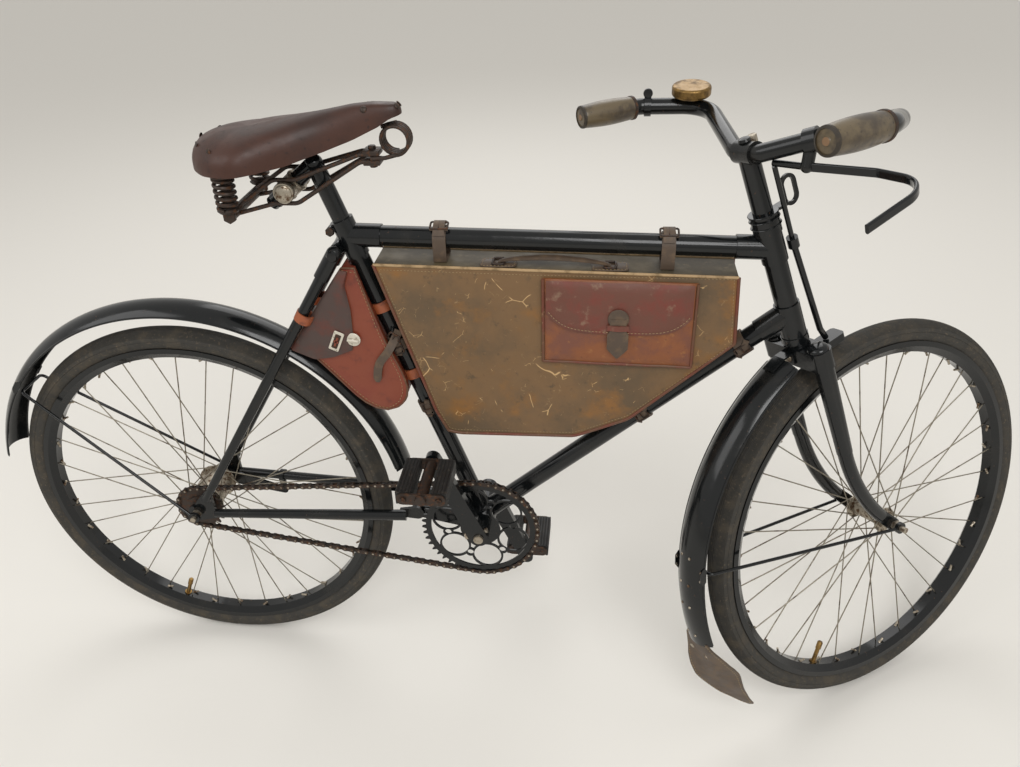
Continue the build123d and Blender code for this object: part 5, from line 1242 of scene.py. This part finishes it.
def build_mud_flap():
    """Leather leaf riveted under the front guard's tail, stitched along its edge."""
    bm = bmesh.new()
    panel(bm, leaf_point, 22, 46, 0, 2.6)
    edge = [leaf_point(0.06, i / 40, 0.2) for i in range(39)]
    edge += [leaf_point(0.94, 1 - i / 40, 0.2) for i in range(2, 41)]
    stitches(bm, edge, 6.0, 4.0, 0.5, tint=1)
    outward = wheel_point(True, 202.5, 400) - wheel_point(True, 202.5, 360)
    for y in (-17, 17):
        rivet(bm, wheel_point(True, 202.5, 377.5, y), outward, 4.2, 1.8, 12, 2)
    hides = ("dark_strap", "waxed_thread", "worn_nickel")
    finish_piece("mud_flap_hide", bm, "fork", hides, ("mud_flap",), 50.0)


# Wheels and guards

BEAD = (297.0, 12.5)
SHOULDER = (26, 66)
TREAD_EDGE = 22
BEAD_LINE = (84, 88)


def tyre_profile(sizes):
    """Section of a tyre as radius and place to the left, ribbed on its shoulders."""
    section, rib = sizes.tyre_section / MM, sizes.rib_depth / MM
    middle = sizes.tyre_radius / MM - section
    profile = [(BEAD[0], -BEAD[1])]
    for i in range(105):
        degrees = -124 + 248 * i / 104
        slant = abs(degrees)
        cut = rib if i % 2 and SHOULDER[0] < slant < SHOULDER[1] else 0.0
        cut = 0.9 if slant < TREAD_EDGE and i % 4 == 0 else cut
        cut = 0.7 if BEAD_LINE[0] < slant < BEAD_LINE[1] else cut
        turn = math.radians(degrees)
        profile.append((middle + (section - cut) * math.cos(turn), (section - cut) * math.sin(turn)))
    return profile + [BEAD, (BEAD[0], -BEAD[1])]


def build_wheel(front, sizes):
    """Ribbed tyre, spoke nipples and valve of one wheel."""
    name = "front" if front else "rear"
    axle = facing(FRONT_AXLE, FORK_LEFT) if front else facing(REAR_AXLE, LEFT)
    bm = bmesh.new()
    lathe(bm, tyre_profile(sizes), axle, 168)
    finish_piece(f"{name}_tyre_ribbed", bm, f"{name}_wheel", "tyre_rubber", (f"{name}_tyre",), 35.0)
    bm = bmesh.new()
    nipple = ((0, 0), (2.9, 0), (2.6, 2.2), (1.9, 3.0), (1.8, 10.5), (0, 10.8))
    for side, shift in ((-1, 0.0), (1, 0.5)):
        for index in range(18):
            lead = 1 if index % 2 == 0 else -1
            degrees = 20 * (index + shift) + 60 * lead
            head = wheel_point(front, degrees, 281, side * 4.0)
            foot = wheel_point(front, degrees - 3 * lead, 270.5, side * 4.8)
            lathe(bm, nipple, facing(head, foot - head), 8)
    root = wheel_point(front, 248, 281)
    valve = ((0, 0), (6.5, 0), (6.5, 3), (3.6, 3.2), (3.6, 26), (4.6, 26.2), (4.6, 38), (3, 40), (0, 40))
    lathe(bm, valve, facing(root, wheel_point(front, 248, 240) - root), 16, 1)
    metals = ("worn_nickel", "aged_brass")
    finish_piece(f"{name}_nipples_and_valve", bm, f"{name}_wheel", metals, (), 40.0)


# Outline of a stay's clip, in degrees and mm from the stay's end on the guard's edge
CLIP = ((-2.4, 2.0), (-1.2, 7.5), (1.2, 7.5), (2.4, 2.0), (1.4, -3.0), (-1.4, -3.0))


def guard_details(bm, front, centre, edge, spread, stay):
    """Rolled edges, rivets and stay clips of a guard, by its edge's radius, its ends and its stay's angle."""

    def spot(degrees, radius, y):
        return wheel_point(front, degrees, radius, y, centre)

    for side in (-1, 1):
        turns = [spread[0] + (spread[1] - spread[0]) * i / 90 for i in range(91)]
        sweep(bm, [spot(turn, edge, side * 29.6) for turn in turns], 1.7, sides=8)
        outward = spot(stay, edge + 12, side * 50) - spot(stay, edge, side * 20)
        for offset in (-1.1, 1.1):
            rivet(bm, spot(stay + offset, edge + 5.2, side * 29.0), outward, 2.6, 1.5, 10, 1)
        clip = [spot(stay + turn, edge + rise, side * 29.9) for turn, rise in CLIP]
        slab(bm, clip, spot(stay, 0, side * 1.4) - spot(stay, 0, 0))


def build_guard_details():
    """Rolled edges, rivets and stay clips of both guards."""
    bm = bmesh.new()
    guard_details(bm, False, REAR_GUARD, 358.5, (14, 167.5), 142)
    finish_piece("rear_guard_details", bm, "frame", ("black_enamel", "worn_nickel"), (), 40.0)
    bm = bmesh.new()
    guard_details(bm, True, FRONT_AXLE, 365.5, (124.6, 198.4), 178)
    for degrees in (174.5, 181.5, 196.0, 187.5):
        for y in (-9, 9):
            spot = wheel_point(True, degrees, 378.2, y)
            rivet(bm, spot, spot - wheel_point(True, degrees, 340, y * 0.2), 2.4, 1.4, 10, 1)
    finish_piece("front_guard_details", bm, "fork", ("black_enamel", "worn_nickel"), (), 40.0)


# Chain and cranks

PITCH = 12.7
LINKS = 112
RING_R = 0.5 * PITCH / math.sin(math.pi / 48)
SPROCKET_R = 0.5 * PITCH / math.sin(math.pi / 20)
AXLE_GAP = math.hypot(REAR_REACH, AXLE_RISE)
RUN = math.sqrt(AXLE_GAP**2 - (RING_R - SPROCKET_R) ** 2)
RISE = math.acos((RING_R - SPROCKET_R) / AXLE_GAP)
UPPER_TURN = math.atan2(AXLE_RISE, -REAR_REACH) - RISE
RING_ARC = (math.tau - 2 * RISE) * RING_R
SPROCKET_ARC = 2 * RISE * SPROCKET_R
CHAIN_Y = -45.0
PLATE_END = 4.1
PLATE_WAIST = 3.0
OUTER_PLATE, INNER_PLATE = 3.2, 1.9


def chain_pin(index):
    """Place of a chain pin, counted over the ring's front, the lower run, the sprocket and back."""
    travel = (index % LINKS) * (RING_ARC + SPROCKET_ARC + 2 * RUN) / LINKS
    if travel < RING_ARC:
        turn = UPPER_TURN - travel / RING_R
        return Vector((math.cos(turn), math.sin(turn))) * RING_R
    travel -= RING_ARC
    low = UPPER_TURN - (math.tau - 2 * RISE)
    cos, sin = math.cos(low), math.sin(low)
    if travel < RUN:
        return Vector((cos, sin)) * RING_R + Vector((sin, -cos)) * travel
    travel -= RUN
    if travel < SPROCKET_ARC:
        turn = low - travel / SPROCKET_R
        return Vector((-REAR_REACH, AXLE_RISE)) + Vector((math.cos(turn), math.sin(turn))) * SPROCKET_R
    cos, sin = math.cos(UPPER_TURN), math.sin(UPPER_TURN)
    back = RUN - (travel - SPROCKET_ARC)
    return Vector((cos, sin)) * RING_R - Vector((sin, -cos)) * back


def build_chain(plate):
    """Roller chain of waisted plates, rollers and riveted pins."""
    bm = bmesh.new()
    outline = []
    for end in (1, -1):
        for step in range(7):
            swing = math.radians(-105 + 35 * step) + (0 if end == 1 else math.pi)
            outline.append((end * 0.5 * PITCH + PLATE_END * math.cos(swing), PLATE_END * math.sin(swing)))
        outline.append((0.0, end * PLATE_WAIST))
    pin = ((0, 0), (1.7, 0), (1.9, 0.5), (1.9, 8.1), (1.7, 8.6), (0, 8.6))
    roller = ((0, 0), (3.9, 0), (3.9, 2.7), (0, 2.7))
    for index in range(LINKS):
        here, there = chain_pin(index), chain_pin(index + 1)
        middle = (here + there) * 0.5
        turn = math.atan2(there.y - here.y, there.x - here.x)
        cos, sin = math.cos(turn), math.sin(turn)
        outer = index % 2 == 1
        for side in (-1, 1):
            y = CHAIN_Y + side * (OUTER_PLATE if outer else INNER_PLATE) - 0.5
            run = [at(middle.x + x * cos - z * sin, middle.y + x * sin + z * cos, y) for x, z in outline]
            slab(bm, run, LEFT * plate, 0 if outer else 1)
        lathe(bm, pin, facing(at(here.x, here.y, CHAIN_Y - 4.3), LEFT), 8, 2)
        lathe(bm, roller, facing(at(here.x, here.y, CHAIN_Y - 1.35), LEFT), 10, 1)
    metals = ("browned_steel", "oily_steel", "worn_nickel")
    finish_piece("roller_chain", bm, "frame", metals, ("chain",), 40.0)


CRANK = 170.0
SIDES = ((-1, "right", math.radians(113)), (1, "left", math.radians(293)))
BLOCK_X = 27
BLOCK_HALF = 12.0
BLOCK_INNER, BLOCK_LENGTH = 79.4, 84.2
PEDAL_END = 167.2


def block_outline():
    """Section of a pedal block, a square with grooves in its two treads."""
    outline = []
    for face in range(4):
        cos, sin = math.cos(face * 0.5 * math.pi), math.sin(face * 0.5 * math.pi)
        for k in range(13):
            t = -10.6 + 21.2 * k / 12
            depth = BLOCK_HALF - (1.3 if face in (0, 2) and k % 3 == 1 else 0.0)
            outline.append((-depth * sin - t * cos, depth * cos - t * sin))
    return outline


def build_pedals():
    """Grooved rubber blocks, end nuts and caps of both pedals, and the cranks' cotters."""
    for side, name, turn in SIDES:
        centre = at(CRANK * math.cos(turn), CRANK * math.sin(turn))
        outward = LEFT * side
        bm = bmesh.new()
        for x in (-BLOCK_X, BLOCK_X):
            run = [centre + Vector((x + px, side * BLOCK_INNER, pz)) * MM for px, pz in block_outline()]
            slab(bm, run, outward * BLOCK_LENGTH * MM)
        stands_for = (f"pedal_{name}_rubbers",)
        finish_piece(f"pedal_{name}_blocks", bm, f"pedal_{name}", "block_rubber", stands_for, 30.0)
        bm = bmesh.new()
        for x in (-BLOCK_X, BLOCK_X):
            end = facing(centre + Vector((x, side * PEDAL_END, 0)) * MM, outward)
            hexagon(bm, end, 9.0, 3.6)
            lathe(bm, ((0, 0), (2.4, 0), (2.4, 5.4), (0, 5.8)), end, 10)
            rivet(bm, centre + Vector((x, side * 76.0, 0)) * MM, -outward, 4.5, 2.0, 12)
        cap = facing(centre + outward * PEDAL_END * MM, outward)
        lathe(bm, ((0, 0), (8.5, 0), (9.0, 1.0), (8.0, 4.0), (0, 5.0)), cap, 22)
        finish_piece(f"pedal_{name}_nuts", bm, f"pedal_{name}", "browned_steel", (), 40.0)
    bm = bmesh.new()
    hollow = ((0, 0), (7.0, 0), (7.0, 0.8), (2.0, 0.8), (2.0, 0.2), (0, 0.2))
    for side, _, turn in SIDES:
        arm = Vector((math.cos(turn), 0, math.sin(turn)))
        out = arm.cross(LEFT)
        cotter = at(0, 0, side * 64.5) + arm * 7.5 * MM
        sweep(bm, [cotter - out * 19 * MM, cotter + out * 19 * MM], 4.2, sides=14)
        hexagon(bm, facing(cotter + out * 16.5 * MM, out), 11.0, 5.0)
        lathe(bm, hollow, facing(at(0, 0, side * 75.0), LEFT * side), 18)
    finish_piece("crank_cotters", bm, "cranks", "worn_nickel", (), 40.0)


# Bars

STEM_TOP = 672.0
BAR_ASKEW = math.radians(2.1)
GRIP_END = (267, 236, 669)
BAR_BEND = (362, 229, 677)
BAR_SHOULDER = (445, 172, 674)


def bar_point(x, y, z):
    """Point of the bars, tipped a little askew and turned with the fork, from its place straight ahead."""
    away = at(x, z, y) - FORK_FOOT
    u, rise = away.dot(HEAD_AHEAD) / MM, away.dot(HEAD_UP) / MM - STEM_TOP
    cos, sin = math.cos(BAR_ASKEW), math.sin(BAR_ASKEW)
    return fork_point(u, STEM_TOP + rise * cos + y * sin, y * cos - rise * sin)


def build_grips():
    """Horn grips, swollen in the middle, with a ferrule, an end cap and a copper rivet end."""
    profile = [(0, 0.0), (5.0, 0.0), (5.6, 0.7), (13.6, 0.9), (15.2, 1.6), (16.0, 3.2)]
    for i in range(1, 21):
        profile.append((16 + 2.2 * math.sin(math.pi * i / 20) + 0.5 * i / 20, 3.2 + 80 * i / 20))
    profile += [(16.9, 84.5), (16.9, 88.4), (12.6, 89), (12.6, 70)]
    finish = ("horn_grip", "aged_copper", "browned_steel", "grip_end")
    for side, name, _ in SIDES:
        bm = bmesh.new()
        end, bend = (bar_point(x, side * y, z) for x, y, z in (GRIP_END, BAR_BEND))
        back = (bend - end).normalized()
        place = facing(end - back * 4 * MM, back)
        lathe(bm, profile, place, 40)
        lathe(bm, ((0, -0.4), (4.4, -0.4), (4.8, 0.4), (0, 0.6)), place, 20, 1)
        lathe(bm, ((16.6, 83.6), (17.5, 84.0), (17.5, 88.0), (16.6, 88.4), (13.0, 88.6)), place, 40, 2)
        lathe(bm, ((13.0, -0.1), (16.2, 1.2), (16.5, 3.6), (15.6, 4.2)), place, 40, 3)
        finish_piece(f"grip_{name}_turned", bm, "fork", finish, (f"grip_{name}",), 40.0)


def build_bar_details():
    """Thumb knob and its clip, the stem's bolts, the rings of the headset and the fork crown's domes."""
    bm = bmesh.new()
    bend, shoulder = bar_point(*BAR_BEND), bar_point(*BAR_SHOULDER)
    along = (shoulder - bend).normalized()
    spot = bend.lerp(shoulder, 0.12)
    band_loop(bm, spot, along, 13.4, 5.0, 0)
    up = UP - along * along.z
    sweep(bm, [spot + up * 12 * MM, spot + up * 19 * MM], 2.6, sides=10)
    side = along.cross(up)
    knob = facing(spot + up * 19 * MM - side * 3 * MM, side)
    lathe(bm, ((0, 0), (6, 0), (7, 1.4), (7, 5), (6, 6.2), (0, 6.6)), knob, 20)
    # Stem bolt and the lug of the tee
    head = fork_point(0, STEM_TOP)
    bolt = facing(head + HEAD_UP * 15 * MM, HEAD_UP)
    lathe(bm, ((0, 0), (8, 0), (8.6, 1.4), (7.4, 4.8), (3, 6.2), (0, 6.4)), bolt, 22)
    hexagon(bm, facing(head + FORK_AHEAD * 13 * MM + HEAD_UP * 8 * MM, HEAD_UP), 11.0, 11.0, 1)
    rivet(bm, head - FORK_LEFT * 15 * MM - FORK_AHEAD * 2 * MM, -FORK_LEFT, 2.4, 1.4, 12, 1)
    for low in (566.5, 576.4, 584.2):
        ring = ((14, 0), (20.6, 0), (21.4, 0.8), (20.6, 1.7), (14, 1.7))
        lathe(bm, ring, facing(fork_point(0, low), HEAD_UP), 36)
    # Domed tops of the fork's crown over both blades, and the guard's bolt through it
    dome = ((0, 0), (15.5, 0), (15.2, 2.6), (12.6, 5.4), (7.5, 7.4), (0, 8.2))
    for side in (-1, 1):
        lathe(bm, dome, facing(fork_point(0, 375.6, side * 42), HEAD_UP), 28)
    guard_bolt = facing(fork_point(-17.2, 361), -FORK_AHEAD)
    hexagon(bm, guard_bolt, 12.0, 5.0, 1)
    lathe(bm, ((0, 0), (3.6, 0), (3.6, 8.5), (0, 9.2)), guard_bolt, 14, 1)
    finish_piece("bar_fittings", bm, "fork", ("black_enamel", "worn_nickel"), (), 40.0)


def build_seat_details():
    """Open end of the seat post's arm, the seat bolt and the frame's small bolts."""
    bm = bmesh.new()
    tube = ((7.6, 44), (7.6, 12), (10.6, 12), (10.6, 43.2), (10.0, 44), (7.6, 44))
    lathe(bm, tube, facing(SEAT_CLAMP, POST_BACK), 28)
    bolt = at(0, 0) + (SEAT_UP * 553 + SEAT_BACK * 19) * MM
    eye = at(0, 0) + (SEAT_UP * 525 + SEAT_BACK * 22) * MM
    for side in (-1, 1):
        outward = LEFT * side
        hexagon(bm, facing(bolt + outward * 11 * MM, outward), 12.0, 5.0, 1)
        cap = facing(eye + outward * 38 * MM, outward)
        lathe(bm, ((0, 0), (8.5, 0), (8.8, 1.0), (7.0, 3.6), (0, 4.6)), cap, 22)
    peg = facing(at(-187.6, 517, -10), (-0.95, 0, 0.3))
    lathe(bm, ((0, 0), (2.6, 0), (3.6, 5), (2.4, 9), (0, 10)), peg, 14)
    finish_piece("seat_fittings", bm, "frame", ("black_enamel", "browned_steel"), (), 40.0)


# Stage

FLOOR_HALF = 60.0
FLOOR_GAP = 0.0005
WORLD_COLOUR = "#f0eeea"
WORLD_STRENGTH = 0.8
LAMPS = (
    ("key_lamp", (1.2, -2.6, 2.2), 1.8, 66.0),
    ("fill_lamp", (-2.4, -1.4, 1.8), 2.0, 26.0),
    ("back_lamp", (0.2, 2.6, 1.9), 2.4, 30.0),
)
CAMERA_PLACE = (0.49047, -1.13446, 0.30035)
CAMERA_TURN = (0.871217, 0.487033, 0.043610, 0.043331)
CAMERA_SHIFT = (0.01275, -0.00118)


def hold(name, data, place, turn):
    """Puts a lamp or the camera in the scene."""
    holder = bpy.data.objects.new(name, data)
    holder.location = place
    holder.rotation_mode = "QUATERNION"
    holder.rotation_quaternion = turn
    bpy.context.scene.collection.objects.link(holder)
    return holder


def build_stage(camera_lens, colour):
    """Pale floor, soft lamps and the camera at the photograph's place."""
    bm = bmesh.new()
    bmesh.ops.create_grid(bm, x_segments=1, y_segments=1, size=FLOOR_HALF)
    bmesh.ops.translate(bm, verts=bm.verts, vec=(0.0, 0.0, FLOOR_Z - FLOOR_GAP))
    mesh = bpy.data.meshes.new("floor")
    bm.to_mesh(mesh)
    bm.free()
    floor = bpy.data.objects.new("floor", mesh)
    bpy.context.scene.collection.objects.link(floor)
    material, tree, shader = start_material("pale_floor")
    shader.inputs["Base Color"].default_value = (*colour, 1.0)
    shader.inputs["Roughness"].default_value = 0.9
    mesh.materials.append(material)

    world = bpy.data.worlds.new("studio")
    world.use_nodes = True
    background = world.node_tree.nodes["Background"]
    background.inputs[0].default_value = linear(WORLD_COLOUR)
    background.inputs[1].default_value = WORLD_STRENGTH
    bpy.context.scene.world = world
    for name, place, size, power in LAMPS:
        lamp = bpy.data.lights.new(name, "AREA")
        lamp.size = size
        lamp.energy = power
        hold(name, lamp, place, (Vector(place) - at(100, 100)).to_track_quat("Z", "Y"))

    view = bpy.data.cameras.new("photograph")
    view.sensor_width = 36.0
    view.lens = camera_lens
    view.shift_x, view.shift_y = CAMERA_SHIFT
    bpy.context.scene.camera = hold("photograph", view, CAMERA_PLACE, Quaternion(CAMERA_TURN))
    bpy.context.scene.view_settings.view_transform = "Standard"


def size_property(name, description, default, unit="LENGTH"):
    return bpy.props.FloatProperty(
        name=name, description=description, default=default, unit=unit, precision=4
    )


def colour_property(name, code):
    """Base colour of a finish, from its sRGB hex code."""
    return bpy.props.FloatVectorProperty(
        name=name,
        description=f"Base colour of the {name.lower()}",
        default=linear(code)[:3],
        subtype="COLOR",
        size=3,
    )


class RoadsterSizes(bpy.types.PropertyGroup):
    saddle_hide: size_property("Saddle hide", "Thickness of the saddle's leather", 0.0042)
    tyre_radius: size_property("Tyre radius", "From the axle to the tread", 0.331)
    tyre_section: size_property("Tyre section", "Radius of the tyre's round section", 0.019)
    rib_depth: size_property("Rib depth", "Depth of the fine ribs on the tyre's shoulders", 0.00055)
    chain_plate: size_property("Chain plate", "Thickness of a chain's side plate", 0.001)
    camera_lens: size_property("Camera lens", "Focal length of the camera on a 36 mm frame", 30.178, "CAMERA")


class RoadsterColours(bpy.types.PropertyGroup):
    enamel: colour_property("Enamel", "#0f1112")
    saddle: colour_property("Saddle leather", "#3f241a")
    case: colour_property("Frame case", "#6d5233")
    pouch: colour_property("Pouch", "#7d4825")
    bag: colour_property("Tool bag", "#783721")
    tyre: colour_property("Tyres", "#33312d")
    grip: colour_property("Grips", "#5d503a")
    brass: colour_property("Bell", "#8a6d3f")
    floor: colour_property("Floor", "#dedbd5")


class ROADSTER_OT_finishes(bpy.types.Operator):
    """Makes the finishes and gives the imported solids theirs"""

    bl_idname = "roadster.finishes"
    bl_label = "Finishes"

    def execute(self, context):
        make_finishes(context.scene.roadster_colours)
        dress_nodes()
        return {"FINISHED"}


class ROADSTER_OT_saddle(bpy.types.Operator):
    """Makes the saddle's hide, wires, springs and clamp"""

    bl_idname = "roadster.saddle"
    bl_label = "Saddle"

    def execute(self, context):
        build_saddle(context.scene.roadster_sizes.saddle_hide)
        build_saddle_frame()
        return {"FINISHED"}


class ROADSTER_OT_luggage(bpy.types.Operator):
    """Makes the case with its pouch, handle and straps, and the tool bag"""

    bl_idname = "roadster.luggage"
    bl_label = "Luggage"

    def execute(self, context):
        build_case()
        build_pouch()
        build_handle()
        build_straps()
        build_tool_bag()
        build_mud_flap()
        return {"FINISHED"}


class ROADSTER_OT_wheels(bpy.types.Operator):
    """Makes both tyres with nipples and valves, and the guards' edges and rivets"""

    bl_idname = "roadster.wheels"
    bl_label = "Wheels and guards"

    def execute(self, context):
        for front in (False, True):
            build_wheel(front, context.scene.roadster_sizes)
        build_guard_details()
        return {"FINISHED"}


class ROADSTER_OT_drive(bpy.types.Operator):
    """Makes the chain, pedal blocks and cotters"""

    bl_idname = "roadster.drive"
    bl_label = "Drive"

    def execute(self, context):
        build_chain(context.scene.roadster_sizes.chain_plate)
        build_pedals()
        return {"FINISHED"}


class ROADSTER_OT_bars(bpy.types.Operator):
    """Makes the grips and the fittings of bars and seat post"""

    bl_idname = "roadster.bars"
    bl_label = "Bars and fittings"

    def execute(self, context):
        build_grips()
        build_bar_details()
        build_seat_details()
        return {"FINISHED"}


class ROADSTER_OT_stage(bpy.types.Operator):
    """Makes the floor, the lamps and the camera"""

    bl_idname = "roadster.stage"
    bl_label = "Stage"

    def execute(self, context):
        build_stage(context.scene.roadster_sizes.camera_lens, context.scene.roadster_colours.floor)
        return {"FINISHED"}


STEPS = (
    ROADSTER_OT_finishes,
    ROADSTER_OT_saddle,
    ROADSTER_OT_luggage,
    ROADSTER_OT_wheels,
    ROADSTER_OT_drive,
    ROADSTER_OT_bars,
    ROADSTER_OT_stage,
)


class ROADSTER_PT_steps(bpy.types.Panel):
    """Lists the steps that dress the bicycle"""

    bl_idname = "ROADSTER_PT_steps"
    bl_label = "Roadster bicycle"
    bl_space_type = "VIEW_3D"
    bl_region_type = "UI"
    bl_category = "Roadster"

    def draw(self, context):
        for step in STEPS:
            self.layout.operator(step.bl_idname)


def register():
    for cls in (RoadsterSizes, RoadsterColours, *STEPS, ROADSTER_PT_steps):
        bpy.utils.register_class(cls)
    bpy.types.Scene.roadster_sizes = bpy.props.PointerProperty(type=RoadsterSizes)
    bpy.types.Scene.roadster_colours = bpy.props.PointerProperty(type=RoadsterColours)


def unregister():
    del bpy.types.Scene.roadster_colours
    del bpy.types.Scene.roadster_sizes
    for cls in (ROADSTER_PT_steps, *reversed(STEPS), RoadsterColours, RoadsterSizes):
        bpy.utils.unregister_class(cls)


def main():
    register()
    for step in STEPS:
        group, name = step.bl_idname.split(".")
        getattr(getattr(bpy.ops, group), name)()


if __name__ == "__main__":
    main()
